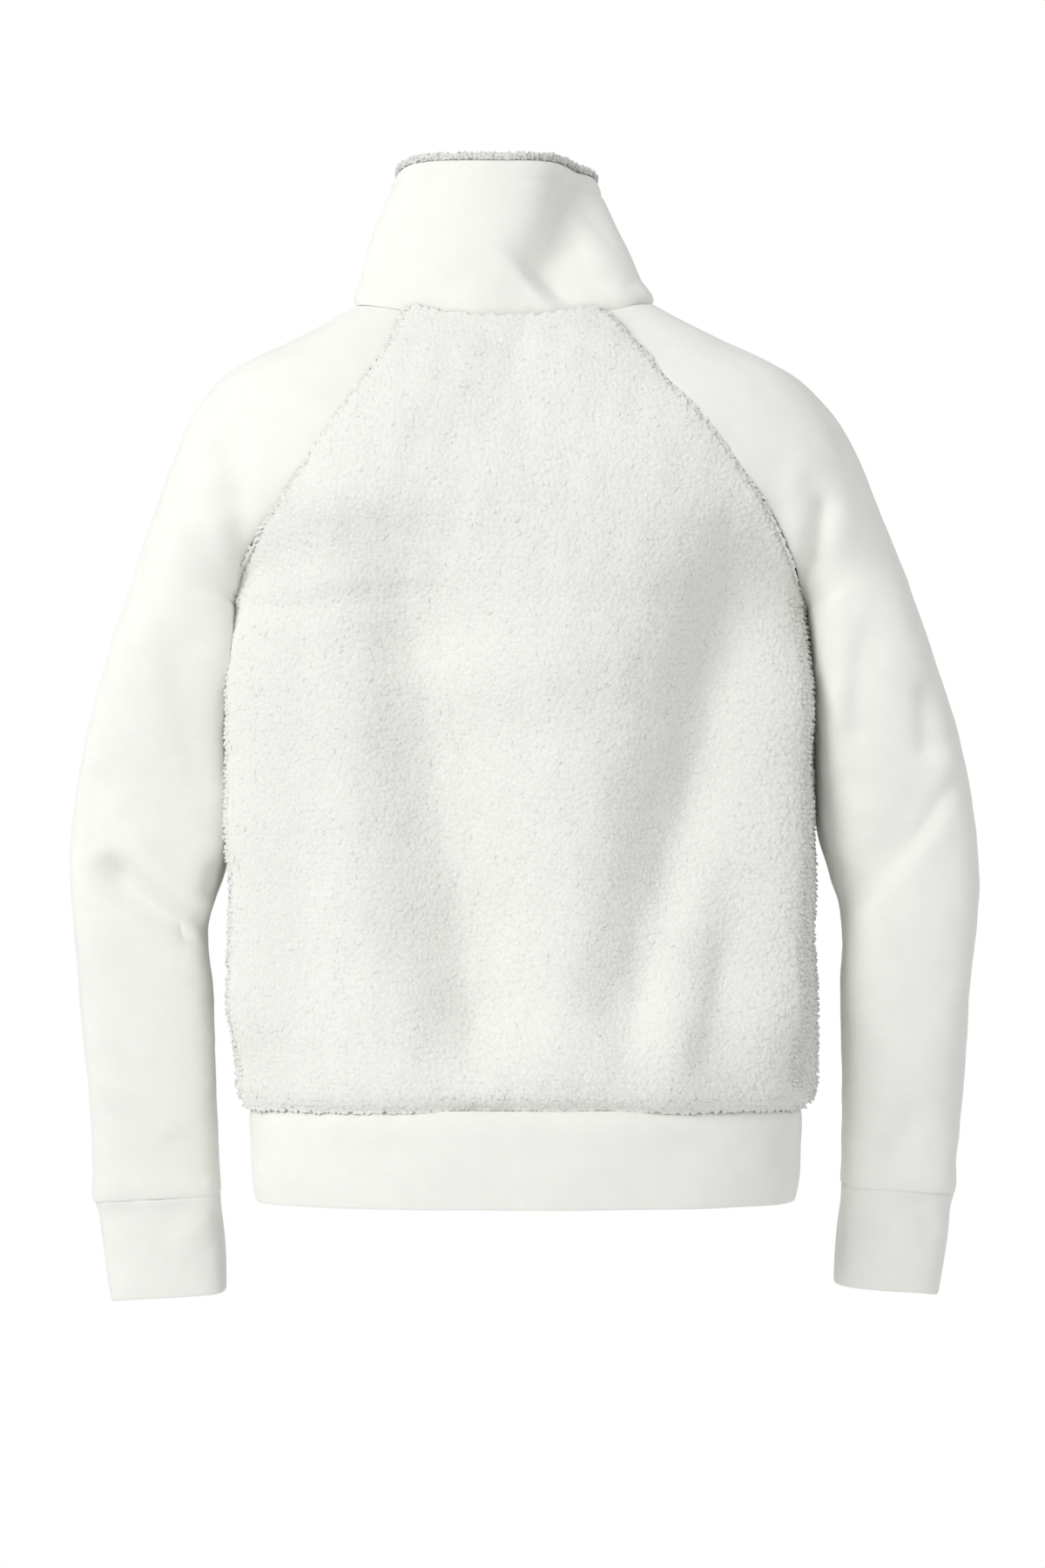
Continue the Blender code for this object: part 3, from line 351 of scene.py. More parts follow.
# Tufts along the sherpa's edges: their spacing and size, how far they stand away from the edge,
# off the cloth and down, and how many radii they are set in.
TUFT_SPACING = 0.0030
TUFT_RADIUS = 0.0015
TUFT_AWAY, TUFT_UP, TUFT_DOWN = 0.6, 0.7, 0.3
TUFT_INSET = 1.4

# Height of the tufts at the raglan seams and at the neck and hem, how far each row is lifted, and
# how much higher they grow down the raglan seams to the underarm.
RAGLAN_TUFT = 0.0022
HEM_TUFT = 0.0032
RAGLAN_LIFT, HEM_LIFT, NECK_LIFT = 0.0004, 0.0016, 0.0010
UNDERARM_TUFT = 0.0040
UNDERARM_TUFT_REACH = (-0.090, -0.170)
UNDERARM_HEIGHT = -0.195

# Slack of the cloths: depth, length and seed of each set of waves, and how their lengths grow.
BODY_SLACK = ((0.0011, 0.080, 3), (0.0004, 0.026, 4))
SLEEVE_SLACK = ((0.0008, 0.070, 5), (0.0002, 0.024, 6))
BAND_SLACK = ((0.0005, 0.060, 7),)
CUFF_SLACK = ((0.0004, 0.040, 8),)
COLLAR_SLACK = ((0.0004, 0.050, 9),)
WAVE_COUNT = 7
WAVE_FIRST, WAVE_GROWTH = 0.7, 0.12

# Even spacings down and across a panel are worked out from this many points, at these stations
# and this share of the body's section. The last value is half of the band's back, as drawn.
DOWN_POINTS, ACROSS_POINTS = 500, 600
CHEST, HIP = np.array([1.3]), np.array([2.7])
BACK_SHARE = np.array([0.4])
BAND_BACK_HALF = 0.26

# The collar's turned edge: its stitch line below the top, the groove there and the fuller edge.
COLLAR_STITCH = 0.0120
COLLAR_GROOVE = 0.0009
COLLAR_GROOVE_WIDTH = 0.0013
COLLAR_EDGE_FULLNESS = 0.0006
COLLAR_EDGE_SHARE = 0.6

# Height and length round of the collar as drawn.
COLLAR_HEIGHT = 0.108
COLLAR_GIRTH = 0.60

# The lining: thickness of its wall, columns of the collar left out at each front edge (and half as
# many rows at the foot), height of its wall above the collar's edge, and the rows of tufts along
# its top: distance in from the wall's outer face and how far they lean out. Then the spacing,
# radius and height of these tufts, and how far they are turned along the edge.
LINING_WALL = 0.0022
LINING_MARGIN = 8
LINING_RISE = 0.0036
LINING_TOP = ((0.0000, 0.9), (0.0004, 0.3), (0.0014, -0.2), (0.0024, -0.9))
LINING_TUFT_SPACING = 0.0028
LINING_TUFT_RADIUS = 0.0027
LINING_TUFT_HEIGHT = 0.0044
LINING_TUFT_TURN = 0.3


def smoothstep(low, high, value):
    """Goes smoothly from 0 at low to 1 at high, which may be the smaller of the two."""
    share = np.clip((value - low) / (high - low), 0.0, 1.0)
    return share * share * (3.0 - 2.0 * share)


def read(table, station):
    """The other columns of a table at values of its first one, smoothly through its rows."""
    at, columns = table[:, 0], table[:, 1:]
    run = np.diff(at)
    steps = np.diff(columns, axis=0) / run[:, None]
    between = steps[:-1] * run[1:, None] + steps[1:] * run[:-1, None]
    slopes = np.vstack([steps[:1], between / (run[:-1] + run[1:])[:, None], steps[-1:]])
    station = np.clip(station, at[0], at[-1])
    row = np.clip(np.searchsorted(at, station, side="right") - 1, 0, len(run) - 1)
    t = ((station - at[row]) / run[row])[..., None]
    reach = run[row][..., None]
    start = 2 * t**3 - 3 * t**2 + 1
    found = start * columns[row] + (1 - start) * columns[row + 1]
    found = found + (t**3 - 2 * t**2 + t) * reach * slopes[row]
    return found + (t**3 - t**2) * reach * slopes[row + 1]


def cubic(first, second, third, fourth, shares):
    """Points of cubic curves, one curve for each row of their ends and handles."""
    t = shares[None, :, None]
    u = 1.0 - t
    ends = u**3 * first[:, None] + t**3 * fourth[:, None]
    return ends + 3 * u * u * t * second[:, None] + 3 * u * t * t * third[:, None]


def vectors(x, y, z):
    """Rows of points from their coordinates, any of which may be one number."""
    return np.stack(np.broadcast_arrays(x, y, z), axis=-1).astype(float)


def unit(rows):
    """The rows of vectors at unit length."""
    size = np.linalg.norm(rows, axis=-1, keepdims=True)
    return rows / np.where(size > 0, size, 1.0)


def lengths(points):
    """Distance of each point along its line."""
    steps = np.linalg.norm(np.diff(points, axis=0), axis=1)
    return np.concatenate([[0.0], np.cumsum(steps)])


def sampled(places, along, table):
    """The three columns of a table at places between those of its rows."""
    return np.stack([np.interp(places, along, table[:, k]) for k in range(3)], axis=-1)


def circle(corners, start=0.0):
    """Corners of a circle of radius 1."""
    turn = 2 * math.pi * np.arange(corners) / corners + start
    return np.column_stack([np.cos(turn), np.sin(turn)])


def seam_points(stations, view, side):
    """Points of one raglan seam, on the back or the front."""
    row = read(SLEEVE, stations)
    if view == FRONT:
        return row[:, 6:9]
    shift = read(LEFT_SEAM, stations) * (side > 0)
    return row[:, 3:6] + vectors(shift[:, 0], shift[:, 1], 0.0)


def body_rows(stations, view, shares, side=-1):
    """Half sections of the body, from the centre to the side or raglan seam."""
    edge_x = 0.0 if view == BACK else FRONT_EDGE_X
    yoke, body = read(YOKE, stations), read(BODY, stations)
    back_y, back_z, front_y, front_z, angle, back_handle, front_handle, share = yoke.T
    if view == BACK:
        handle, y, z, low_y = back_handle, back_y, back_z, body[:, 3]
    else:
        handle, y, z, low_y = front_handle, front_y, front_z, body[:, 4]
    above = (stations <= UNDERARM_STATION)[:, None]
    centre = vectors(edge_x, y, z)
    centre_below = vectors(edge_x, low_y, body[:, 2])
    edge = np.where(above, seam_points(stations, view, side), body[:, 0:3])
    centre = np.where(above, centre, centre_below)
    turn = np.where(above[:, 0], np.radians(angle), math.pi / 2)
    reach = np.where(above[:, 0], handle, BODY_HANDLE_SHARE * np.abs(centre[:, 1] - edge[:, 1]))
    share = np.where(above[:, 0], share, BODY_HANDLE_SHARE)
    by_centre = centre + vectors(share * edge[:, 0], 0.0, 0.0)
    by_edge = edge + vectors(-reach * np.cos(turn), view * reach * np.sin(turn), 0.0)
    return cubic(centre, by_centre, by_edge, edge, shares)


def sleeve_rows(stations, side, shares):
    """Sleeve sections, from the back point (0) over the outer point (1) to the front point (2)."""
    row = read(SLEEVE, stations)
    wider, lower = read(SLEEVE_DIFFERENCE, stations).T
    down = vectors(0.0, 0.0, side * lower)
    outer = row[:, 0:3] - down
    back = seam_points(stations, BACK, side) - vectors(side * wider, 0.0, 0.0) - down
    front = seam_points(stations, FRONT, side) - vectors(side * wider, 0.0, 0.0) - down
    out, away, top = row[:, 9], row[:, 10], row[:, 11]
    halves = []
    for end, view in ((back, BACK), (front, FRONT)):
        across = outer - end
        by_end = end + vectors(out * across[:, 0], view * away, out * across[:, 2])
        by_outer = outer + vectors(0.0, view * top, 0.0)
        halves.append((end, by_end, by_outer, outer))
    first = shares[shares <= 1.0]
    second = 2.0 - shares[shares > 1.0]
    most = SLEEVE_SQUARE[0 if side > 0 else 1]
    square = most * smoothstep(*SLEEVE_SQUARE_STATIONS, stations)[:, None]
    found = []
    for half, t in zip(halves, (first, second)):
        points = cubic(*half, t)
        inner, width = half[0][:, None, 0], (half[3] - half[0])[:, None, 0]
        share = (points[..., 0] - inner) / width
        points[..., 0] -= width * square * np.sin(2 * math.pi * share) / (2 * math.pi)
        found.append(points)
    return np.concatenate(found, axis=1)


def mirrored(points, side):
    """The points on the wearer's left (side 1) or right (side -1)."""
    return points * np.array((side, 1.0, 1.0))


def leaning(points):
    """Moves points of the upright form over to the leaning centre line."""
    moved = points.copy()
    moved[..., 0] += read(LEAN, points[..., 2])[..., 0]
    return moved


def spaced(length, step):
    """Places along a length, evenly spaced but for closer ones beside both ends."""
    edges = np.array(EDGE_ROWS[:-1])
    inner = np.linspace(EDGE_ROWS[-1], length - EDGE_ROWS[-1], max(2, round(length / step)))
    return np.concatenate([edges, inner, length - edges[::-1]])


def stations_along(line, first, last, step):
    """Stations from first to last whose points on a line are evenly spaced."""
    fine = np.linspace(first, last, DOWN_POINTS)
    along = lengths(line(fine))
    return np.interp(spaced(along[-1], step), along, fine)


def neck_half():
    """Half of the neckline, from the centre back to the front edge, and its side share."""
    shares = np.linspace(0.0, 1.0, NECK_POINTS)
    start = np.array([0.0])
    back = body_rows(start, BACK, shares)[0]
    over = sleeve_rows(start, 1, np.linspace(0.0, 2.0, 2 * NECK_POINTS + 1))[0]
    front = body_rows(start, FRONT, shares)[0][::-1]
    line = np.concatenate([back, over[1:], front[1:]])
    along = lengths(line)
    return line, along / along[-1], along[len(back) - 1 + NECK_POINTS] / along[-1]


def collar_rows(heights, around):
    """Collar sections at shares of its height, around from -1 over the centre back to 1."""
    line, shares, side_share = neck_half()
    half = np.abs(around)
    base = sampled(half, shares, line)
    side_top = np.array(COLLAR_SIDE_TOP)
    top = np.zeros_like(base)
    parts = (
        (half <= side_share, half / side_share, (0.0, *COLLAR_BACK_TOP)),
        (half > side_share, (1.0 - half) / (1.0 - side_share), (FRONT_EDGE_X, *COLLAR_FRONT_TOP)),
    )
    for chosen, t, centre in parts:
        centre = np.array(centre)
        run = COLLAR_ROUND * (centre[1] - side_top[1])
        by_centre = centre + np.array((COLLAR_ROUND * side_top[0], 0.0, 0.0))
        by_side = side_top + np.array((0.0, run, COLLAR_SIDE_SLOPE * run))
        ends = [p[None] for p in (centre, by_centre, by_side, side_top)]
        top[chosen] = cubic(*ends, t[chosen])[0]
    outward = base - vectors(0.0, side_top[1], base[:, 2])
    outward /= np.linalg.norm(outward, axis=1)[:, None]
    rows = []
    for height in heights:
        roll = smoothstep(0.0, COLLAR_ROLL_SHARE, height)
        roll *= smoothstep(3 * COLLAR_ROLL_SHARE, COLLAR_ROLL_SHARE, height)
        roll = COLLAR_ROLL * roll * np.abs(outward[:, 0])
        bulge = COLLAR_BULGE * math.sin(math.pi * height) + roll
        rows.append(base + (top - base) * height + outward * bulge[:, None])
    rows = np.array(rows)
    rows[..., 0] *= np.where(around < 0, 1.0, -1.0)
    return leaning(rows)


def fold_depth(folds, points, normals):
    """How far the folds take each point of the form inwards."""
    depth = np.zeros(len(points))
    places = points[:, [0, 2]]
    for view, x0, z0, x1, z1, x2, z2, reach, plus_width, minus_width in folds:
        facing = smoothstep(*FOLD_FACING, normals[:, 1] * view)
        t = np.linspace(0.0, 1.0, FOLD_STEPS + 1)[:, None]
        line = (1 - t) ** 2 * np.array((x0, z0)) + 2 * t * (1 - t) * np.array((x1, z1))
        line = line + t**2 * np.array((x2, z2))
        nearest = np.full(len(points), np.inf)
        passed = np.zeros(len(points))
        offset = np.zeros(len(points))
        for step in range(FOLD_STEPS):
            way = line[step + 1] - line[step]
            share = np.clip((places - line[step]) @ way / (way @ way), 0.0, 1.0)
            gap = places - line[step] - share[:, None] * way
            distance = np.linalg.norm(gap, axis=1)
            nearer = distance < nearest
            nearest[nearer] = distance[nearer]
            passed[nearer] = (step + share[nearer]) / FOLD_STEPS
            offset[nearer] = gap[nearer, 0]
        width = np.where(offset > 0, plus_width, minus_width)
        ends = 1.0 - FOLD_END_LOSS * smoothstep(*FOLD_END, passed)
        ends = smoothstep(*FOLD_START, passed) * ends
        depth += reach * facing * ends * np.exp(-((nearest / width) ** 2))
    return depth


def grid_faces(rows, columns, flip, closed_from=None):
    """Faces of a grid, whose last column is its first one from the row closed_from."""
    index = np.arange(rows * columns).reshape(rows, columns)
    if closed_from is not None:
        index[closed_from:, -1] = index[closed_from:, 0]
    corners = [index[:-1, :-1], index[:-1, 1:], index[1:, 1:], index[1:, :-1]]
    faces = np.stack([c.ravel() for c in corners], axis=1)
    return faces[:, ::-1] if flip else faces


def evened(normals, share):
    """Turns normals towards the back or the front, as a nap that is brushed that way."""
    return unit(normals + share * np.tanh(normals[:, 1:2] / NAP_TURN) * (0.0, 1.0, 0.0))


def normals_of(points, faces):
    """Unit normal at each point of a mesh of four-cornered faces."""
    first, second, third, fourth = (points[faces[:, k]] for k in range(4))
    across = np.cross(third - first, fourth - second)
    sums = np.zeros_like(points)
    for k in range(4):
        np.add.at(sums, faces[:, k], across)
    return unit(sums)


def add_object(name, data):
    """An object of the scene with some data."""
    made = bpy.data.objects.new(name, data)
    bpy.context.scene.collection.objects.link(made)
    return made


def make_mesh(name, points, faces, material, smooth=True, values=None, shading=None):
    """A mesh object. Faces is a list of arrays, one for each number of corners."""
    mesh = bpy.data.meshes.new(name)
    mesh.vertices.add(len(points))
    mesh.vertices.foreach_set("co", np.asarray(points, np.float32).ravel())
    faces = [np.asarray(f) for f in faces if len(f)]
    loops = np.concatenate([f.ravel() for f in faces])
    totals = np.concatenate([np.full(len(f), f.shape[1]) for f in faces])
    starts = np.concatenate([[0], np.cumsum(totals)[:-1]])
    mesh.loops.add(len(loops))
    mesh.loops.foreach_set("vertex_index", loops.astype(np.int32))
    mesh.polygons.add(len(totals))
    mesh.polygons.foreach_set("loop_start", starts.astype(np.int32))
    mesh.update(calc_edges=True)
    if smooth:
        mesh.shade_smooth()
    for key, column in (values or {}).items():
        layer = mesh.attributes.new(key, "FLOAT", "POINT")
        layer.data.foreach_set("value", np.asarray(column, np.float32))
    if shading is not None:
        mesh.normals_split_custom_set_from_vertices(shading.tolist())
    mesh.materials.append(material)
    return add_object(name, mesh)


def running(grid, axis):
    """Distance along the grid's lines in one direction."""
    steps = np.linalg.norm(np.diff(grid, axis=axis), axis=2)
    start = np.zeros_like(np.take(steps, [0], axis=axis))
    return np.concatenate([start, np.cumsum(steps, axis=axis)], axis=axis)


def from_ends(grid, axis):
    """Distance along the grid's lines in one direction from the nearer of their ends."""
    along = running(grid, axis)
    return np.minimum(along, np.take(along, [-1], axis=axis) - along)


def edge_distance(grid, closed_from=None):
    """Distance from each point of a grid to the panel's nearest cut edge."""
    from_sides = from_ends(grid, 1)
    if closed_from is not None:
        from_sides[closed_from:] = np.inf
    return np.minimum(from_ends(grid, 0), from_sides)


def waves(points, scale, seed):
    """A smooth random value, mostly from -1 to 1, at each point: a few crossing waves."""
    chance = np.random.default_rng(seed)
    total = np.zeros(len(points))
    for count in range(WAVE_COUNT):
        length = scale * (WAVE_FIRST + WAVE_GROWTH * count)
        way = unit(chance.normal(size=3)) * 2 * math.pi / length
        total += np.sin(points @ way + chance.uniform(0, 2 * math.pi))
    return total / math.sqrt(WAVE_COUNT)


class Panel:
    """One cloth panel: its grid of points after folding, their normals and its faces."""

    def __init__(self, grid, flip, folds=(), closed_from=None, slack=(), relief=None):
        self.shape = grid.shape[:2]
        self.closed_from = closed_from
        self.faces = grid_faces(*self.shape, flip, closed_from)
        points = grid.reshape(-1, 3)
        normals = normals_of(points, self.faces)
        depth = fold_depth(folds, points, normals)
        for amount, scale, seed in slack:
            depth += amount * waves(points, scale, seed)
        self.set(points - normals * depth[:, None])
        if relief is not None:
            self.set(self.points + self.normals * relief(self.grid()).reshape(-1, 1))

    def set(self, points):
        """Takes new points and works out their normals."""
        self.points = self.joined(points)
        self.normals = self.joined(normals_of(self.points, self.faces))

    def joined(self, values):
        """Where the panel is a closed ring, its last column repeats its first."""
        if self.closed_from is not None:
            values = values.reshape(*self.shape, 3).copy()
            values[self.closed_from :, -1] = values[self.closed_from :, 0]
        return values.reshape(-1, 3)

    def grid(self):
        """The points in their rows and columns."""
        return self.points.reshape(*self.shape, 3)

    def normal_grid(self):
        """The normals in their rows and columns."""
        return self.normals.reshape(*self.shape, 3)

    def wall(self, name, material, raised, sunk):
        """A closed wall: its outer face raised, and rounded at its edges, its inner face sunk."""
        from_edge = edge_distance(self.grid(), self.closed_from).ravel()
        raised = raised - EDGE_DROP * np.exp(-((from_edge / EDGE_ROUND) ** 2))
        outer = self.points + self.normals * raised[:, None]
        inner = self.points - self.normals * sunk
        count = len(self.points)
        faces = [self.faces, self.faces[:, ::-1] + count, self.rim(count)]
        nap = evened(self.joined(normals_of(outer, self.faces)), NAP_LAY)
        points, nap = np.concatenate([outer, inner]), np.concatenate([nap, -nap])
        points, faces, nap = without_spare(points, faces, nap)
        return make_mesh(name, points, faces, material, shading=nap)

    def rim(self, count):
        """Faces that join the outer and the inner face along the panel's edges."""
        pairs = np.concatenate([self.faces[:, [k, (k + 1) % 4]] for k in range(4)])
        keys = {(a, b) for a, b in pairs.tolist()}
        open_edges = np.array([(a, b) for a, b in pairs.tolist() if (b, a) not in keys])
        a, b = open_edges.T
        return np.stack([b, a, a + count, b + count], axis=1)


def without_spare(points, faces, nap):
    """Leaves out the points that no face uses, with their normals."""
    used = np.unique(np.concatenate([f.ravel() for f in faces]))
    new = np.zeros(len(points), int)
    new[used] = np.arange(len(used))
    return points[used], [new[f] for f in faces], nap[used]


def pressed_pile(low_pile, span, distance):
    """Height of the pile at a distance from a place that presses it down to low_pile."""
    return low_pile + (SHERPA_PILE - low_pile) * smoothstep(*span, distance)


def pile_depth(grid, normals, raglan_rows):
    """Height of the sherpa's pile over a panel's grid."""
    points = grid.reshape(-1, 3)
    side_x = points[:, 0] - read(LEAN, points[:, 2])[:, 0]
    across = np.abs(side_x)
    upright = np.column_stack([across, points[:, 1:]])
    from_underarm = np.linalg.norm(upright - BODY[0, 1:4], axis=1)
    depth = pressed_pile(UNDERARM_PILE, UNDERARM_PRESSED, from_underarm)
    zip_side = pressed_pile(ZIP_EDGE_PILE, ZIP_EDGE_PRESSED, across)
    depth = np.where(points[:, 1] < 0, np.minimum(depth, zip_side), depth).reshape(grid.shape[:2])
    from_seams = from_ends(grid, 1)[:raglan_rows]
    at_seams = pressed_pile(RAGLAN_PILE, RAGLAN_PRESSED, from_seams)
    depth[:raglan_rows] = np.minimum(depth[:raglan_rows], at_seams)
    facing = smoothstep(*SIDE_FACING, np.abs(normals[..., 0])) * (grid[..., 1] > 0)
    height = smoothstep(*SIDE_TOP, grid[..., 2]) * smoothstep(*SIDE_FOOT, grid[..., 2])
    fuller = np.where(side_x > 0, *SIDE_FULLNESS).reshape(depth.shape)
    return depth + facing * height * fuller


def curl_template():
    """Points of one curl, the way that each faces, and its faces.

    The columns are along the curl's lean, across it and up.
    """
    level = np.zeros(CURL_SIDES)
    low = np.column_stack([circle(CURL_SIDES), level])
    high = np.column_stack([circle(CURL_SIDES, math.pi / CURL_SIDES), level])
    facing = np.concatenate([low, CURL_TOP * high, [[0.0, 0.0, 0.0]]])
    top = CURL_TOP * high + (CURL_LEAN, 0.0, CURL_SHOULDER)
    here = np.arange(CURL_SIDES)
    there = (here + 1) % CURL_SIDES
    up_faces = np.stack([here, there, here + CURL_SIDES], axis=1)
    down_faces = np.stack([there, there + CURL_SIDES, here + CURL_SIDES], axis=1)
    tip = np.full(CURL_SIDES, 2 * CURL_SIDES)
    cap = np.stack([here + CURL_SIDES, there + CURL_SIDES, tip], axis=1)
    points = np.concatenate([low, top, [[CURL_TIP_LEAN * CURL_LEAN, 0.0, 1.0]]])
    return points, facing, np.concatenate([up_faces, down_faces, cap])


class Curls:
    """Places for curls: their feet, axes, the cloth's own normal and the way down there."""

    def __init__(self):
        self.parts = []

    def add(self, feet, axes, cloth, down, heights, radii):
        """Adds places, with the heights and radii of their curls."""
        count = len(feet)
        heights, radii = (np.broadcast_to(value, count) for value in (heights, radii))
        self.parts.append((feet, unit(axes), unit(cloth), down, heights, radii))

    def mesh(self, name, material, chosen=None):
        """A joined mesh of all the curls, or of those that are chosen by their feet."""
        columns = [np.concatenate(part) for part in zip(*self.parts)]
        if chosen is not None:
            keep = chosen(columns[0])
            columns = [column[keep] for column in columns]
        feet, axes, cloth, down, heights, radii = columns
        count = len(feet)
        template, facing, faces = curl_template()
        axes = unit(axes + CURL_TILT * RANDOM.normal(size=(count, 3)))
        down = unit(down - (down * axes).sum(1)[:, None] * axes)
        turn = RANDOM.normal(size=count)[:, None]
        lean = down * np.cos(turn) + np.cross(axes, down) * np.sin(turn)
        across = np.cross(axes, lean)
        wide = radii * RANDOM.uniform(*CURL_WIDTHS, count)
        long = wide * RANDOM.uniform(*CURL_LENGTHS, count)
        rise = heights * RANDOM.uniform(*CURL_RISES, count)

        def placed(table, up):
            """Turns the template's columns into each curl's own directions and sizes."""
            spread = lean[:, None] * (long[:, None] * table[:, 0])[..., None]
            spread = spread + across[:, None] * (wide[:, None] * table[:, 1])[..., None]
            return spread + axes[:, None] * (up[:, None] * table[:, 2])[..., None]

        points = feet[:, None] + placed(template, rise)
        points = points + RANDOM.normal(size=points.shape) * CURL_JITTER * radii[:, None, None]
        outward = placed(facing, rise) / radii[:, None, None]
        at_side = smoothstep(*LAY_REACH, np.abs(feet[:, :1] - LAY_MIDDLE))
        lay = evened(cloth, CURL_LAY * at_side)
        shading = unit(lay[:, None] + CURL_ROUNDNESS * outward)
        index = (faces[None] + (np.arange(count) * len(template))[:, None, None]).reshape(-1, 3)
        # Each point's height up its curl, from which the material paints shade at the curls' feet.
        values = {"lift": np.tile(template[:, 2], count)}
        points, shading = points.reshape(-1, 3), shading.reshape(-1, 3)
        return make_mesh(name, points, [index], material, True, values, shading)


def between(low, high, share):
    """The value at a share of the way from low to high."""
    return low * (1.0 - share) + high * share


def spread_over(grid, others, spacing):
    """Evenly spread places on a grid, with the way down it and the other grids' values there."""
    steps = np.linalg.norm(np.diff(grid, axis=0), axis=2).mean(axis=1)
    down = np.concatenate([[0.0], np.cumsum(steps)])
    count = max(1, round(down[-1] / (spacing * CURL_ROW_SHARE)))
    tables = [grid, np.gradient(grid, axis=0)] + list(others)
    found = [[] for _ in tables]
    for k in range(count):
        place = down[-1] * (k + 0.5) / count
        row = min(np.searchsorted(down, place, side="right") - 1, len(down) - 2)
        share = (place - down[row]) / (down[row + 1] - down[row])
        along = lengths(between(grid[row], grid[row + 1], share))
        number = max(1, round(along[-1] / spacing))
        at = np.arange(number) + 0.25 + 0.5 * (k % 2)
        at = at + RANDOM.uniform(-ROW_STRAY, ROW_STRAY, number)
        at = np.clip(at / number, 0.0, 1.0) * along[-1]
        stray = RANDOM.uniform(-ACROSS_STRAY, ACROSS_STRAY, number)
        stray = stray * spacing / (down[row + 1] - down[row])
        rows = np.clip(row + share + stray, 0, len(down) - 1.001)
        low = rows.astype(int)
        columns = np.interp(at, along, np.arange(len(along)))
        left = np.minimum(columns.astype(int), len(along) - 2)
        for store, table in zip(found, tables):
            part = (columns - left)[:, None]
            upper = between(table[low, left], table[low, left + 1], part)
            lower = between(table[low + 1, left], table[low + 1, left + 1], part)
            store.append(between(upper, lower, (rows - low)[:, None]))
    return [np.concatenate(part) for part in found]


def along_line(line, others, spacing):
    """Places along a line at about even distances, and the other lines' values there."""
    along = lengths(line)
    number = max(2, round(along[-1] / spacing))
    at = np.arange(number) + 0.5 + RANDOM.uniform(-EDGE_STRAY, EDGE_STRAY, number)
    at = at / number * along[-1]
    return [sampled(at, along, table) for table in (line, *others)]


def node(tree, kind, **inputs):
    """Adds a shader node and sets its inputs by name."""
    made = tree.nodes.new(kind)
    for key, value in inputs.items():
        made.inputs[key.replace("_", " ")].default_value = value
    return made


def new_material(name, roughness, sheen=0.0, coat=0.0):
    """A material with its tree and its shader."""
    made = bpy.data.materials.new(name)
    made.use_nodes = True
    shader = made.node_tree.nodes["Principled BSDF"]
    shader.inputs["Roughness"].default_value = roughness
    shader.inputs["Sheen Weight"].default_value = sheen
    shader.inputs["Sheen Roughness"].default_value = SHEEN_ROUGHNESS
    shader.inputs["Coat Weight"].default_value = coat
    return made, made.node_tree, shader


def coloured(tree, shader, value, *stops):
    """Gives the shader a colour from a ramp over a value."""
    made = tree.nodes.new("ShaderNodeValToRGB")
    elements = made.color_ramp.elements
    for k, (place, colour) in enumerate(stops):
        element = elements[k] if k < 2 else elements.new(place)
        element.position = place
        element.color = (*colour, 1.0)
    tree.links.new(value, made.inputs["Fac"])
    tree.links.new(made.outputs["Color"], shader.inputs["Base Color"])


def metres(tree):
    """The object's own coordinates, in metres."""
    return tree.nodes.new("ShaderNodeTexCoord").outputs["Object"]


def noise(tree, size, detail, roughness=0.6):
    """Noise whose patches have about the given size, in metres."""
    made = node(tree, "ShaderNodeTexNoise", Scale=1.0 / size, Detail=detail, Roughness=roughness)
    tree.links.new(metres(tree), made.inputs["Vector"])
    return made.outputs["Fac"]


def bumped(tree, shader, height, strength, distance):
    """Gives the shader a bump from a height between 0 and 1."""
    bump = node(tree, "ShaderNodeBump", Strength=strength, Distance=distance)
    tree.links.new(height, bump.inputs["Height"])
    tree.links.new(bump.outputs["Normal"], shader.inputs["Normal"])


def finish(name, roughness, dark, light, patch, grain, bump, sheen=0.0, coat=0.0):
    """A material whose colour varies softly in patches, with a fine grain on its surface."""
    made, tree, shader = new_material(name, roughness, sheen, coat)
    coloured(tree, shader, noise(tree, patch, PATCH_DETAIL), (0.3, dark), (0.7, light))
    bumped(tree, shader, noise(tree, grain, GRAIN_DETAIL), GRAIN_STRENGTH, bump)
    return made


def sherpa_finish():
    """Curled pile: painted shade darkens it between the curls, at their feet, with fine pebbles
    over them.
    """
    made, tree, shader = new_material("sherpa_curls", 0.95, sheen=0.20)
    # The curl's height picks its colour: painted shade low down, its own colour higher up.
    lift = tree.nodes.new("ShaderNodeAttribute")
    lift.attribute_name = "lift"
    stops = (0.0, SHERPA_PAINTED_SHADE), (PAINTED_SHADE_TOP, SHERPA_LIGHT)
    coloured(tree, shader, lift.outputs["Fac"], *stops)
    pebbles = node(tree, "ShaderNodeTexVoronoi", Scale=1.0 / PEBBLE_SIZE)
    pebbles.feature = "SMOOTH_F1"
    pebbles.inputs["Smoothness"].default_value = PEBBLE_SMOOTHNESS
    tree.links.new(metres(tree), pebbles.inputs["Vector"])
    lower = node(tree, "ShaderNodeMath")
    lower.operation = "SUBTRACT"
    lower.inputs[0].default_value = 1.0
    tree.links.new(pebbles.outputs["Distance"], lower.inputs[1])
    bumped(tree, shader, lower.outputs["Value"], PEBBLE_STRENGTH, PEBBLE_HEIGHT)
    return made


def woven_finish():
    """Zip tape: fine ribs across it."""
    made, tree, shader = new_material("zip_tape_weave", 0.8)
    ribs = node(tree, "ShaderNodeTexWave", Scale=RIB_SCALE, Distortion=0.6, Detail=1.0)
    ribs.bands_direction = "Z"
    tree.links.new(metres(tree), ribs.inputs["Vector"])
    coloured(tree, shader, ribs.outputs["Fac"], (0.2, TAPE_DARK), (0.8, TAPE_LIGHT))
    bumped(tree, shader, ribs.outputs["Fac"], RIB_STRENGTH, RIB_HEIGHT)
    return made
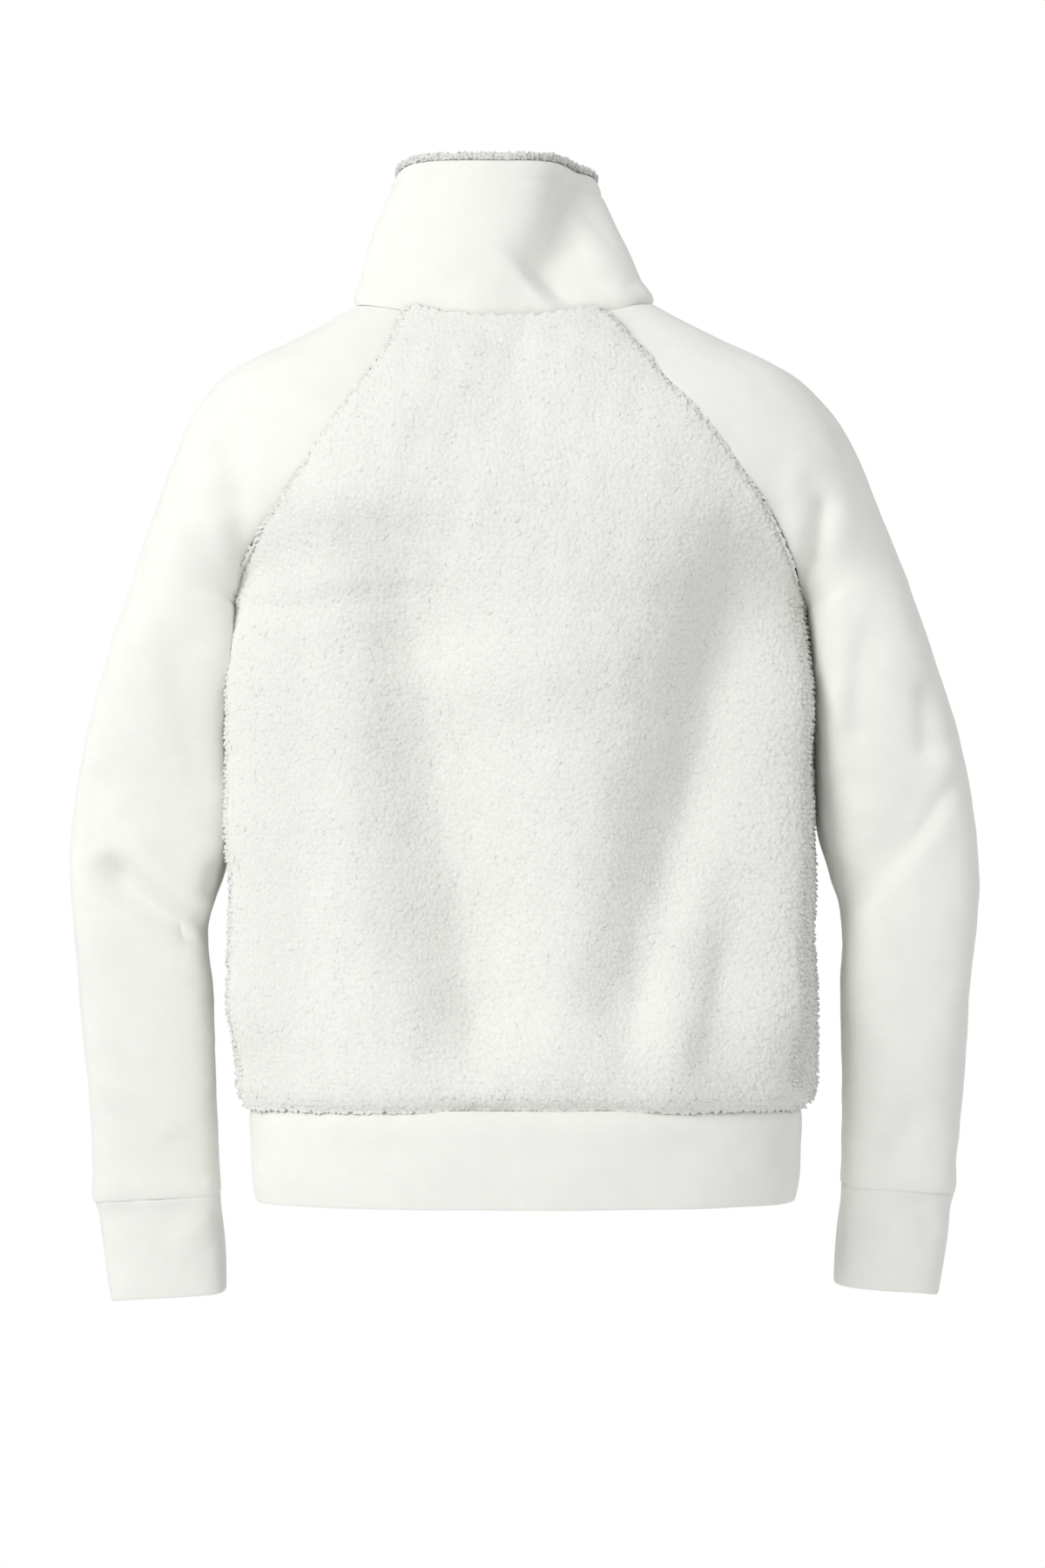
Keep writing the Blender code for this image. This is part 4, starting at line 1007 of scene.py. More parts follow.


# Light and dark of each colour, and the roughness of every sheen. The sherpa's dark is painted
# shade at the feet of its curls.
SHEEN_ROUGHNESS = 0.5
KNIT_LIGHT, KNIT_DARK = (0.900, 0.908, 0.862), (0.865, 0.873, 0.828)
SHERPA_LIGHT, SHERPA_PAINTED_SHADE = (0.852, 0.859, 0.817), (0.826, 0.833, 0.791)
BACKING_LIGHT, BACKING_DARK = (0.840, 0.847, 0.805), (0.810, 0.817, 0.777)
TAPE_LIGHT, TAPE_DARK = (0.820, 0.826, 0.785), (0.700, 0.706, 0.670)
TEETH_LIGHT, TEETH_DARK = (0.800, 0.800, 0.765), (0.760, 0.760, 0.725)
ENAMEL_LIGHT, ENAMEL_DARK = (0.780, 0.782, 0.750), (0.740, 0.742, 0.710)
PAINT_LIGHT, PAINT_DARK = (0.95, 0.95, 0.95), (0.93, 0.93, 0.93)

# Detail of a finish's patches and of its grain, and how strongly the grain shows.
PATCH_DETAIL, GRAIN_DETAIL, GRAIN_STRENGTH = 4.0, 3.0, 0.35

# Height up a curl above which painted shade no longer darkens it, and the pebbles' size, height,
# roundness and strength.
PAINTED_SHADE_TOP = 0.70
PEBBLE_SIZE = 0.0024
PEBBLE_HEIGHT = 0.0010
PEBBLE_SMOOTHNESS = 0.6
PEBBLE_STRENGTH = 0.45

# The zip tape's ribs: how many of them, how strongly they show and their height.
RIB_SCALE, RIB_STRENGTH, RIB_HEIGHT = 110.0, 0.6, 0.0003

# Each finish: name, roughness, dark, light, sizes of its patches and grain, height of its grain.
KNIT_CLOTH = finish(
    "smooth_fleece_nap", 0.90, KNIT_DARK, KNIT_LIGHT, 0.020, 0.0007, 0.0004, sheen=0.15
)
SHERPA_CLOTH = sherpa_finish()
BACKING_CLOTH = finish(
    "sherpa_backing", 0.92, BACKING_DARK, BACKING_LIGHT, 0.004, 0.0014, 0.0006, sheen=0.1
)
TAPE_CLOTH = woven_finish()
TEETH_NYLON = finish("zip_teeth_nylon", 0.42, TEETH_DARK, TEETH_LIGHT, 0.006, 0.0004, 0.0001)
ENAMEL = finish("zip_enamel", 0.30, ENAMEL_DARK, ENAMEL_LIGHT, 0.008, 0.0005, 0.00005, coat=0.5)
THREAD = finish("sewing_thread", 0.70, KNIT_DARK, KNIT_LIGHT, 0.003, 0.0003, 0.0002)


def put_on(piece, body="jacket", instead_of=None):
    """Says which body a piece moves with and which solid it replaces."""
    if instead_of:
        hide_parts(instead_of)
    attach(piece, body)
    return piece


def edge_tufts(curls, line, inside, normals, lift, height):
    """Tufts that stick out past one edge of a sherpa panel and hang a little down."""
    outward = unit(line - inside)
    feet, away, cloth = along_line(line, (outward, normals), TUFT_SPACING)
    down = np.broadcast_to((0.0, 0.0, -1.0), feet.shape)
    axes = TUFT_AWAY * unit(away) + TUFT_UP * unit(cloth) + TUFT_DOWN * down
    feet = feet + unit(cloth) * lift - unit(away) * TUFT_INSET * TUFT_RADIUS
    near = smoothstep(*UNDERARM_TUFT_REACH, feet[:, 2]) * (feet[:, 2] > UNDERARM_HEIGHT)
    curls.add(feet, axes, cloth, down, height + UNDERARM_TUFT * near, TUFT_RADIUS)


def side_tufts(curls, feet, cloth, pile):
    """Longer tufts where the back turns round to its sides."""
    turned = np.abs(cloth[:, 0]) > np.where(cloth[:, 0] > 0, *SIDE_TURNED)
    at_side = turned & (feet[:, 1] > 0) & (feet[:, 2] < UNDERARM_HEIGHT)
    chosen = at_side & (RANDOM.uniform(size=len(feet)) < SIDE_TUFT_SHARE)
    feet, cloth, pile = feet[chosen], cloth[chosen], pile[chosen]
    down = np.broadcast_to((0.0, 0.0, -1.0), feet.shape)
    outward = np.sign(cloth[:, :1]) * (1.0, 0.0, 0.0)
    axes = cloth + SIDE_TUFT_OUT * outward + SIDE_TUFT_DOWN * down
    feet = feet + cloth * (pile - CURL_HEIGHT)[:, None]
    curls.add(feet, axes, cloth, down, SIDE_TUFT_HEIGHT, TUFT_RADIUS)


def sherpa_panel(name, grid, flip, raglan_rows):
    """A sherpa panel: its backing wall, its curls, and tufts along its seams and sides."""
    panel = Panel(grid, flip, BODY_FOLDS, slack=BODY_SLACK)
    points, normals = panel.grid(), panel.normal_grid()
    pile = pile_depth(points, normals, raglan_rows)
    low = np.maximum(pile - CURL_HEIGHT, BACKING_SHARE * pile)
    wall = panel.wall(name + "_cloth", BACKING_CLOTH, low.ravel(), SHERPA_BACKING)
    put_on(wall, instead_of=name)
    tables = [normals, pile[..., None], low[..., None]]
    feet, down, cloth, pile, low = spread_over(points, tables, CURL_SPACING)
    cloth, pile, low = unit(cloth), pile[:, 0], low[:, 0]
    curls = Curls()
    feet_up = feet + cloth * (low - CURL_SINK)[:, None]
    curls.add(feet_up, cloth, cloth, down, pile - low + CURL_SINK, CURL_RADIUS)
    if name == "back":
        side_tufts(curls, feet, cloth, pile)
    raglan, hem, neck = (RAGLAN_LIFT, RAGLAN_TUFT), (HEM_LIFT, HEM_TUFT), (NECK_LIFT, HEM_TUFT)
    columns = (0, 1), (-1, -2)
    rows = slice(0, raglan_rows)
    for edge, inner in columns if name == "back" else columns[1:]:
        edge_tufts(curls, points[rows, edge], points[rows, inner], normals[rows, edge], *raglan)
    edge_tufts(curls, points[-1], points[-2], normals[-1], *hem)
    edge_tufts(curls, points[0], points[1], normals[0], *neck)
    return panel, wall, curls


def smooth_panel(name, grid, flip, folds=(), closed_from=None, slack=(), relief=None):
    """A smooth fleece panel."""
    panel = Panel(grid, flip, folds, closed_from, slack, relief)
    wall = panel.wall(name + "_cloth", KNIT_CLOTH, 0.0, KNIT)
    put_on(wall, instead_of=name)
    return panel, wall


def even_shares(line_of, last, step):
    """Shares of a section, from 0 to the last, whose points are evenly spaced."""
    fine = np.linspace(0.0, last, ACROSS_POINTS)
    along = lengths(line_of(fine))
    return np.interp(spaced(along[-1], step), along, fine)


def body_stations(first, last, step):
    """Stations down the body, evenly spaced on its back."""
    return stations_along(lambda s: body_rows(s, BACK, BACK_SHARE)[:, 0], first, last, step)


def back_grid(stations, step):
    """The whole back, from the wearer's left to the right."""
    half = even_shares(lambda shares: body_rows(CHEST, BACK, shares)[0], 1.0, step)
    half = np.concatenate([[0.0], half[len(EDGE_ROWS) - 1 :]])
    left, right = body_rows(stations, BACK, half, 1), body_rows(stations, BACK, half, -1)
    return leaning(np.concatenate([mirrored(left[:, ::-1], 1), mirrored(right[:, 1:], -1)], axis=1))


def front_grid(stations, side, step):
    """One front, from the zip to the side."""
    shares = even_shares(lambda s: body_rows(CHEST, FRONT, s)[0], 1.0, step)
    return leaning(mirrored(body_rows(stations, FRONT, shares), side))


def band_grid(step):
    """The hem band, from the left of the zip round the back to its right."""
    stations = body_stations(HEM_SEAM_STATION, HEM_END_STATION, step)
    front = even_shares(lambda s: body_rows(HIP, FRONT, s)[0], 1.0, step)[: 1 - len(EDGE_ROWS)]
    back = np.linspace(0.0, 1.0, round(BAND_BACK_HALF / step))
    front_half, back_half = body_rows(stations, FRONT, front), body_rows(stations, BACK, back)
    left = np.concatenate([front_half, back_half[:, ::-1]], axis=1)
    right = np.concatenate([back_half[:, 1:], front_half[:, ::-1]], axis=1)
    return leaning(np.concatenate([mirrored(left, 1), mirrored(right, -1)], axis=1))


def sleeve_grid(side, first, last, step):
    """One sleeve or cuff, and the row from which its section is a closed ring."""
    outer = np.array([1.0])
    stations = stations_along(lambda s: sleeve_rows(s, 0, outer)[:, 0], first, last, step)
    closed_from = 0
    if first < UNDERARM_STATION < last:
        closed_from = int(np.argmin(np.abs(stations - UNDERARM_STATION)))
        stations[closed_from] = UNDERARM_STATION
    middle = np.array([0.5 * (max(first, UNDERARM_STATION) + last)])
    shares = even_shares(lambda s: sleeve_rows(middle, 0, s)[0], 2.0, step)
    return leaning(mirrored(sleeve_rows(stations, side, shares), side)), closed_from


def collar_relief(grid):
    """Heights of the collar's stitch line and of its turned edge."""
    down = running(grid, 0)
    from_top = down[-1] - down
    groove = np.exp(-(((from_top - COLLAR_STITCH) / COLLAR_GROOVE_WIDTH) ** 2))
    fuller = smoothstep(COLLAR_STITCH, COLLAR_EDGE_SHARE * COLLAR_STITCH, from_top)
    return COLLAR_EDGE_FULLNESS * fuller - COLLAR_GROOVE * groove


def add_cloth():
    """All the panels of the body, sleeves and collar."""
    made = {}
    stations = body_stations(0.0, HEM_SEAM_STATION, SHERPA_STEP)
    raglan_rows = int(np.searchsorted(stations, UNDERARM_STATION))
    made["back"] = sherpa_panel("back", back_grid(stations, SHERPA_STEP), True, raglan_rows)
    for side, name in ((1, "left"), (-1, "right")):
        grid = front_grid(stations, side, SHERPA_STEP)
        made["front_" + name] = sherpa_panel("front_" + name, grid, side > 0, raglan_rows)
        for part, first, last, folds, slack in (
            ("sleeve_", 0.0, CUFF_SEAM_STATION, SLEEVE_FOLDS, SLEEVE_SLACK),
            ("cuff_", CUFF_SEAM_STATION, CUFF_END_STATION, CUFF_FOLDS, CUFF_SLACK),
        ):
            grid, ring = sleeve_grid(side, first, last, SMOOTH_STEP)
            made[part + name] = smooth_panel(part + name, grid, side < 0, folds, ring, slack)
    grid = band_grid(SMOOTH_STEP)
    made["hem_band"] = smooth_panel("hem_band", grid, True, BAND_FOLDS, None, BAND_SLACK)
    heights = spaced(COLLAR_HEIGHT, SMOOTH_STEP) / COLLAR_HEIGHT
    around = 2.0 * spaced(COLLAR_GIRTH, SMOOTH_STEP) / COLLAR_GIRTH - 1.0
    grid = collar_rows(heights, around)
    made["collar"] = smooth_panel(
        "collar", grid, False, COLLAR_FOLDS, None, COLLAR_SLACK, collar_relief
    )
    return made


def add_lining(collar):
    """The collar's sherpa lining: a wall behind the collar, with curls inside and over its top."""
    inside = slice(LINING_MARGIN, -LINING_MARGIN)
    grid = collar.grid()[LINING_MARGIN // 2 :, inside]
    normals = collar.normal_grid()[LINING_MARGIN // 2 :, inside]
    outer = grid - normals * (KNIT + LAYER_GAP)
    up = np.broadcast_to((0.0, 0.0, 1.0), outer[-1:].shape)
    above = [outer[-1:] + rise * up for rise in (0.5 * LINING_RISE, LINING_RISE)]
    outer = np.concatenate([outer, *above])
    normals = np.concatenate([normals, normals[-1:], normals[-1:]])
    lining = Panel(outer, False)
    lining.normals = normals.reshape(-1, 3)
    wall = lining.wall("collar_lining_cloth", BACKING_CLOTH, 0.0, LINING_WALL)
    put_on(wall, instead_of="collar_lining")
    curls = Curls()
    inner = outer - normals * LINING_WALL
    feet, down, facing = spread_over(inner, [-normals], CURL_SPACING)
    curls.add(feet, facing, facing, down, CURL_HEIGHT, CURL_RADIUS)
    for offset, tilt in LINING_TOP:
        line = outer[-1] - normals[-1] * offset
        axis = up[0] + tilt * normals[-1]
        feet, axes = along_line(line, (axis,), LINING_TUFT_SPACING)
        down = np.cross(axes, (0.0, 0.0, 1.0)) + (LINING_TUFT_TURN, 0.0, 0.0)
        feet = feet - (0.0, 0.0, 0.5 * LINING_TUFT_RADIUS)
        curls.add(feet, axes, axes, down, LINING_TUFT_HEIGHT, LINING_TUFT_RADIUS)
    return wall, put_on(curls.mesh("collar_lining_curls", SHERPA_CLOTH))


# Zip: distances of the tape's points from the middle, its thickness and its spacing.
TAPE_REACH = (0.0016, 0.0050, 0.0090, 0.0150)
TAPE_THICKNESS = 0.0008
TAPE_STEP = 0.0040

# Gap between parts of the zip, how far it lies behind the cloth, the reach over which its
# direction is measured, and the least distance between points of its path.
PART_GAP = 0.0003
ZIP_SINK = KNIT + LAYER_GAP - PART_GAP
PATH_REACH = 0.0030
PATH_STEP = 0.0002

# Teeth: pitch, distances of their outline's points from the middle and half widths there, the
# places of the two rows in a pitch, and how far and to which shares their fronts are bevelled.
CHAIN_THICKNESS = 0.0023
TOOTH_PITCH = 0.0016
TOOTH_REACH = (-0.0004, 0.0003, 0.0027)
TOOTH_HALF_WIDTH = (0.00026, 0.00040, 0.00044)
TOOTH_PLACES = ((1, 0.25), (-1, 0.75))
TOOTH_BEVEL = 0.0002
TOOTH_TOP_REACH, TOOTH_TOP_WIDTH = 0.92, 0.7

# Box at the zip's foot, and the rib down its front.
BOX_LENGTH = 0.0095
BOX_HALF_WIDTH = 0.0042
BOX_THICKNESS = 0.0029
BOX_ROUND = 0.0014
RIB_HALF_WIDTH = 0.0006
RIB_MARGIN = 0.0010
RIB_ROUND = 0.0005
RIB_RISE = 0.0003

# Slider: its shield, its flanges (thickness and distance from the end, at the foot and the top)
# and its bail.
SLIDER_LENGTH = 0.0120
SLIDER_TOP_HALF, SLIDER_FOOT_HALF = 0.0042, 0.0029
SLIDER_ROUND = 0.0018
SLIDER_BACK, SLIDER_FRONT = 0.0007, 0.0022
SLIDER_BEVEL = 0.0004
FLANGE_FOOT, FLANGE_TOP = (0.0007, 0.0010), (0.0008, 0.0012)
FLANGE_FRONT = 0.0010
BAIL_HALF_WIDTH = 0.0008
BAIL_BAR = 0.0010
BAIL_OPENING = 0.0024
BAIL_LENGTH = 0.0064
BAIL_SINK = 0.0002
BAIL_HOLE_ROUND = 0.0012
BAIL_BEVEL = 0.00015
SLIDER_STEPS = 6

# Share of the collar's height from which the slider takes its direction.
HEAD_SHARE = 0.82

# Pull: its eye, its tab and the grip ribs on it.
PULL_BAR = 0.0012
PULL_EYE_LENGTH = 0.0056
PULL_EYE_HALF_WIDTH = 0.0034
PULL_TAB_LENGTH = 0.0280
PULL_TAB_HALF_WIDTH = 0.0042
PULL_ROUND, PULL_HOLE_ROUND = 0.0019, 0.0009
PULL_STEPS = 5
GRIP_RIBS = 6
GRIP_PITCH = 0.0019
GRIP_START = 0.0040
GRIP_HALF_LENGTH, GRIP_WIDTH = 0.0028, 0.0009
GRIP_ROUND = 0.0004
GRIP_RISE = 0.0003

# Bevels of the larger and of the smallest plates, the angle of a sharp edge, and the orders of the
# frame's directions (across, out, up) in which the plates' own directions are given.
BEVEL = 0.0002
SMALL_BEVEL = 0.0001
SHARP_ANGLE = 50.0
FLAT_FRONT = (0, 2, 1)
EDGE_ON = (2, 0, 1)

# Stitches: length, pitch and radius, and their rings: place along, size and sink as shares.
STITCH_LENGTH = 0.0022
STITCH_PITCH = 0.0030
STITCH_RADIUS = 0.00032
STITCH_CORNERS = 6
STITCH_RINGS = ((-0.5, 0.35, 0.9), (-0.3, 1.0, 0.2), (0.3, 1.0, 0.2), (0.5, 0.35, 0.9))
STITCH_MARGIN = 3


def zip_frame(middle, up):
    """Points on the zip, and the directions across, out of the jacket and up there."""
    across = np.broadcast_to((1.0, 0.0, 0.0), up.shape)
    out = unit(np.cross(across, up))
    return middle, across, out * -np.sign(out[:, 1:2]), up


class ZipPath:
    """The line up the middle of the zip, from the hem to the collar's top."""

    def __init__(self, made):
        lines = []
        for name, columns in (("hem_band", (0, -1)), ("front", (0, 0)), ("collar", (0, -1))):
            pair = ("front_left", "front_right") if name == "front" else (name, name)
            grids = [made[key][0].grid() for key in pair]
            edges = [grid[:, column] for grid, column in zip(grids, columns)]
            line = 0.5 * (edges[0] + edges[1])
            lines.append(line if name == "collar" else line[::-1])
        line = np.concatenate([lines[0], lines[1][1:], lines[2][1:]])
        apart = np.linalg.norm(np.diff(line, axis=0), axis=1) > PATH_STEP
        self.line = line[np.concatenate([[True], apart])]
        self.along = lengths(self.line)
        self.length = self.along[-1]

    def at(self, place):
        """The frame at places along the path."""
        middle, low, high = (
            sampled(np.atleast_1d(place) + reach, self.along, self.line)
            for reach in (0.0, -PATH_REACH, PATH_REACH)
        )
        return zip_frame(middle, unit(high - low))


def placed_in(frame, points):
    """Turns points given across, out and up in a frame into places."""
    middle, across, out, up = (value[:, None] for value in frame)
    points = np.asarray(points, float)
    return middle + across * points[:, :1] + out * points[:, 1:2] + up * points[:, 2:]


def ring_faces(sections, corners, start=0, wrap=False):
    """Faces between successive rings of points, which may close up into a loop of rings."""
    faces = []
    for k in range(sections if wrap else sections - 1):
        for c in range(corners):
            d = (c + 1) % corners
            low, high = start + k * corners, start + (k + 1) % sections * corners
            faces.append((low + c, low + d, high + d, high + c))
    return faces


def add_tape(path, side):
    """One zip tape, a flat woven strip behind its front edge."""
    stations = np.linspace(0.0, path.length, round(path.length / TAPE_STEP))
    near, far = -(ZIP_SINK + PART_GAP), -(ZIP_SINK + PART_GAP + TAPE_THICKNESS)
    section = [(side * x, near, 0.0) for x in TAPE_REACH]
    section += [(side * x, far, 0.0) for x in TAPE_REACH[::-1]]
    points = placed_in(path.at(stations), section).reshape(-1, 3)
    corners = len(section)
    faces = ring_faces(len(stations), corners)
    last = corners * (len(stations) - 1)
    half = len(TAPE_REACH)
    ends = []
    for k in range(half - 1):
        quad = (k, k + 1, corners - 2 - k, corners - 1 - k)
        ends.append(quad[::-1])
        ends.append(tuple(last + c for c in quad))
    faces = np.array(faces + ends)[:, ::-side]
    name = "zip_tape_left" if side > 0 else "zip_tape_right"
    made = make_mesh(name + "_woven", points, [faces], TAPE_CLOTH, smooth=False)
    return put_on(made, instead_of=name)


def add_teeth(path, first, last):
    """The closed teeth, which come from both tapes by turns."""
    count = int((last - first) / TOOTH_PITCH)
    half_widths = list(zip(TOOTH_REACH, TOOTH_HALF_WIDTH))
    outline = [(x, -half) for x, half in half_widths] + [(x, half) for x, half in half_widths[::-1]]
    corners = len(outline)
    front = CHAIN_THICKNESS - ZIP_SINK
    rings = ((1.0, -ZIP_SINK, 1.0), (1.0, front - TOOTH_BEVEL, 1.0))
    rings += ((TOOTH_TOP_REACH, front, TOOTH_TOP_WIDTH),)
    caps = [(0, 1, 4, 5), (1, 2, 3, 4)]
    one = ring_faces(len(rings), corners) + [cap[::-1] for cap in caps]
    one = np.array(one + [tuple(c + 2 * corners for c in cap) for cap in caps])
    parts, faces = [], []
    for side, shift in TOOTH_PLACES:
        places = first + (np.arange(count) + shift) * TOOTH_PITCH
        tooth = [(side * a * x, out, b * u) for a, out, b in rings for x, u in outline]
        start = sum(len(p) for p in parts)
        starts = (start + np.arange(count) * len(tooth))[:, None, None]
        faces.append((one[None, :, ::side] + starts).reshape(-1, 4))
        parts.append(placed_in(path.at(places), tooth).reshape(-1, 3))
    points, faces = np.concatenate(parts), np.concatenate(faces)
    made = make_mesh("zip_teeth", points, [faces], TEETH_NYLON, smooth=False)
    return put_on(made, instead_of="zip_chain")


def rectangle(left, right, low, high):
    """Corners of a rectangle in two directions."""
    return [(left, low), (right, low), (right, high), (left, high)]


def rounded(corners, radius, steps=4):
    """An outline in two directions with its corners rounded, by less than half of its sides."""
    corners = np.array(corners, float)
    found = []
    for k, corner in enumerate(corners):
        a, b = (
            corner + way / np.linalg.norm(way) * min(radius, 0.45 * np.linalg.norm(way))
            for way in (corners[k - 1] - corner, corners[(k + 1) % len(corners)] - corner)
        )
        for t in np.linspace(0.0, 1.0, steps):
            found.append((1 - t) ** 2 * a + 2 * t * (1 - t) * corner + t * t * b)
    return np.array(found)


def inset(outline, amount):
    """The outline moved inwards by an amount."""
    after = np.roll(outline, -1, axis=0)
    way = unit(after - np.roll(outline, 1, axis=0))
    turn = np.sum(outline[:, 0] * after[:, 1] - outline[:, 1] * after[:, 0])
    return outline + np.sign(turn) * amount * np.column_stack([-way[:, 1], way[:, 0]])


def bevelled(outline, low, high, bevel, way=1):
    """Rings of a bevelled edge from low to high, set in (way 1) or out (way -1) at its ends."""
    small = inset(outline, way * bevel)
    return [(small, low), (outline, low + bevel), (outline, high - bevel), (small, high)]


def stacked(rings):
    """Points of rings in the first two directions, each at its place in the third."""
    return np.concatenate([np.column_stack([ring, np.full(len(ring), at)]) for ring, at in rings])


def plate(outline, low, high, bevel):
    """A bevelled plate: its points, the faces of its sides and those of its two ends."""
    rings, count = bevelled(outline, low, high, bevel), len(outline)
    last = (len(rings) - 1) * count
    caps = [tuple(range(count))[::-1], tuple(range(last, last + count))]
    return stacked(rings), ring_faces(len(rings), count), caps


def pierced_plate(outline, hole, low, high, bevel):
    """A bevelled plate with one hole that has as many points as the outline."""
    rings = bevelled(outline, low, high, bevel) + bevelled(hole, low, high, bevel, -1)[::-1]
    return stacked(rings), ring_faces(len(rings), len(outline), wrap=True), []


def assembled(name, frame, solids, order, material):
    """One object from closed solids, each given in its own order of the frame's directions."""
    points, quads, caps = [], [], {}
    for (part, faces, ends), turn in zip(solids, order):
        start = sum(len(p) for p in points)
        points.append(part[:, turn])
        quads += [tuple(c + start for c in face) for face in faces]
        for face in ends:
            caps.setdefault(len(face), []).append(tuple(c + start for c in face))
    places = placed_in(frame, np.concatenate(points))[0]
    made = make_mesh(name, places, [quads, *caps.values()], material, smooth=False)
    mesh = bmesh.new()
    mesh.from_mesh(made.data)
    bmesh.ops.recalc_face_normals(mesh, faces=mesh.faces)
    mesh.to_mesh(made.data)
    mesh.free()
    made.data.shade_smooth()
    made.data.set_sharp_from_angle(angle=math.radians(SHARP_ANGLE))
    return made


def add_box(path):
    """The moulded box at the zip's foot, with a rib down its front."""
    outline = rounded(rectangle(-BOX_HALF_WIDTH, BOX_HALF_WIDTH, 0.0, BOX_LENGTH), BOX_ROUND)
    body = plate(outline, -ZIP_SINK, BOX_THICKNESS - ZIP_SINK, BEVEL)
    ridge = rectangle(-RIB_HALF_WIDTH, RIB_HALF_WIDTH, RIB_MARGIN, BOX_LENGTH - RIB_MARGIN)
    front = BOX_THICKNESS - ZIP_SINK + RIB_RISE
    rib = plate(rounded(ridge, RIB_ROUND), 0.0, front, SMALL_BEVEL)
    made = assembled("zip_foot_box", path.at(0.0), [body, rib], [FLAT_FRONT] * 2, TEETH_NYLON)
    return put_on(made, instead_of="zip_box")


def head_frame():
    """The slider's frame, from the collar's own front edge."""
    rows = collar_rows([HEAD_SHARE, 1.0], np.array([-1.0, 1.0]))
    low, high = (0.5 * (row[:1] + row[-1:]) for row in rows)
    up = unit(high - low)
    return zip_frame(high - up * 0.5 * SLIDER_LENGTH, up)


def add_slider(frame):
    """The slider: a front plate like a shield, its two flanges, and the bail for the pull."""
    top, bottom, half = SLIDER_TOP_HALF, SLIDER_FOOT_HALF, 0.5 * SLIDER_LENGTH
    shield = [(-bottom, -half), (bottom, -half), (top, half), (-top, half)]
    shield = rounded(shield, SLIDER_ROUND, SLIDER_STEPS)
    plates = [plate(shield, SLIDER_BACK, SLIDER_FRONT, SLIDER_BEVEL)]
    foot, head = -half + FLANGE_FOOT[1], half - FLANGE_TOP[1]
    for side in (-1, 1):
        flange = [(side * bottom, foot), (side * (bottom - FLANGE_FOOT[0]), foot)]
        flange += [(side * (top - FLANGE_TOP[0]), head), (side * top, head)]
        plates.append(plate(np.array(flange), -ZIP_SINK, FLANGE_FRONT, SMALL_BEVEL))
    root, inner = SLIDER_FRONT - 0.5 * BAIL_BAR, SLIDER_FRONT + BAIL_OPENING
    long, short = 0.5 * BAIL_LENGTH, 0.5 * BAIL_LENGTH - BAIL_BAR
    outline = rectangle(root, inner + BAIL_BAR, -long, long)
    hole = rectangle(SLIDER_FRONT - BAIL_SINK, inner, -short, short)
    bail = pierced_plate(
        rounded(outline, SLIDER_ROUND, SLIDER_STEPS),
        rounded(hole, BAIL_HOLE_ROUND, SLIDER_STEPS),
        -BAIL_HALF_WIDTH,
        BAIL_HALF_WIDTH,
        BAIL_BEVEL,
    )
    turns = [FLAT_FRONT] * 3 + [EDGE_ON]
    made = assembled("zip_slider_body", frame, plates + [bail], turns, ENAMEL)
    return put_on(made, instead_of="zip_slider")


def add_pull(frame):
    """The pull: an eye under the bail, and a tab with grip ribs that hangs from it."""
    axis_out, bar = SLIDER_FRONT + 0.5 * BAIL_OPENING, 0.5 * PULL_BAR
    eye, foot = -PULL_EYE_LENGTH, -PULL_EYE_LENGTH - PULL_TAB_LENGTH
    wide, top = PULL_TAB_HALF_WIDTH, PULL_EYE_HALF_WIDTH
    outline = [(-top, bar), (top, bar), (wide, eye), (wide, foot), (-wide, foot), (-wide, eye)]
    outline = rounded(outline, PULL_ROUND, PULL_STEPS)
    inside = top - PULL_BAR
    hole = [(-inside, -bar), (inside, -bar), (inside, 0.5 * eye), (inside, eye + PULL_BAR)]
    hole += [(-inside, eye + PULL_BAR), (-inside, 0.5 * eye)]
    hole = rounded(hole, PULL_HOLE_ROUND, PULL_STEPS)
    front = axis_out + bar
    solids = [pierced_plate(outline, hole, axis_out - bar, front, BEVEL)]
    for k in range(GRIP_RIBS):
        low = foot + GRIP_START + k * GRIP_PITCH
        rib = rectangle(-GRIP_HALF_LENGTH, GRIP_HALF_LENGTH, low, low + GRIP_WIDTH)
        rib = rounded(rib, GRIP_ROUND)
        solids.append(plate(rib, front - SMALL_BEVEL, front + GRIP_RISE, SMALL_BEVEL))
    made = assembled("zip_pull_tab", frame, solids, [FLAT_FRONT] * len(solids), ENAMEL)
    return put_on(made, body="pull", instead_of="zip_pull")


def add_stitches(name, line, normals):
    """A row of short stitches that lie on the cloth along a line."""
    along = lengths(line)
    middles = np.arange(STITCH_PITCH, along[-1] - STITCH_PITCH, STITCH_PITCH)
    spots = sampled(middles, along, line)
    out = unit(sampled(middles, along, normals))
    way = unit(sampled(middles + 0.5 * STITCH_LENGTH, along, line) - spots)
    side = np.cross(way, out)
    section = circle(STITCH_CORNERS) * STITCH_RADIUS
    around = side[:, None] * section[:, :1] + out[:, None] * section[:, 1:]
    rings = []
    for share, size, sink in STITCH_RINGS:
        centre = spots + way * share * STITCH_LENGTH - out * sink * STITCH_RADIUS
        rings.append(centre[:, None] + size * around)
    points = np.stack(rings, axis=1).reshape(-1, 3)
    one = np.array(ring_faces(len(rings), STITCH_CORNERS))
    size = len(rings) * STITCH_CORNERS
    starts = (np.arange(len(spots)) * size)[:, None, None]
    faces = (one[None] + starts).reshape(-1, 4)
    ends = np.array([range(STITCH_CORNERS)[::-1], range(size - STITCH_CORNERS, size)])
    ends = (ends[None] + starts).reshape(-1, STITCH_CORNERS)
    return put_on(make_mesh(name, points, [faces, ends], THREAD))


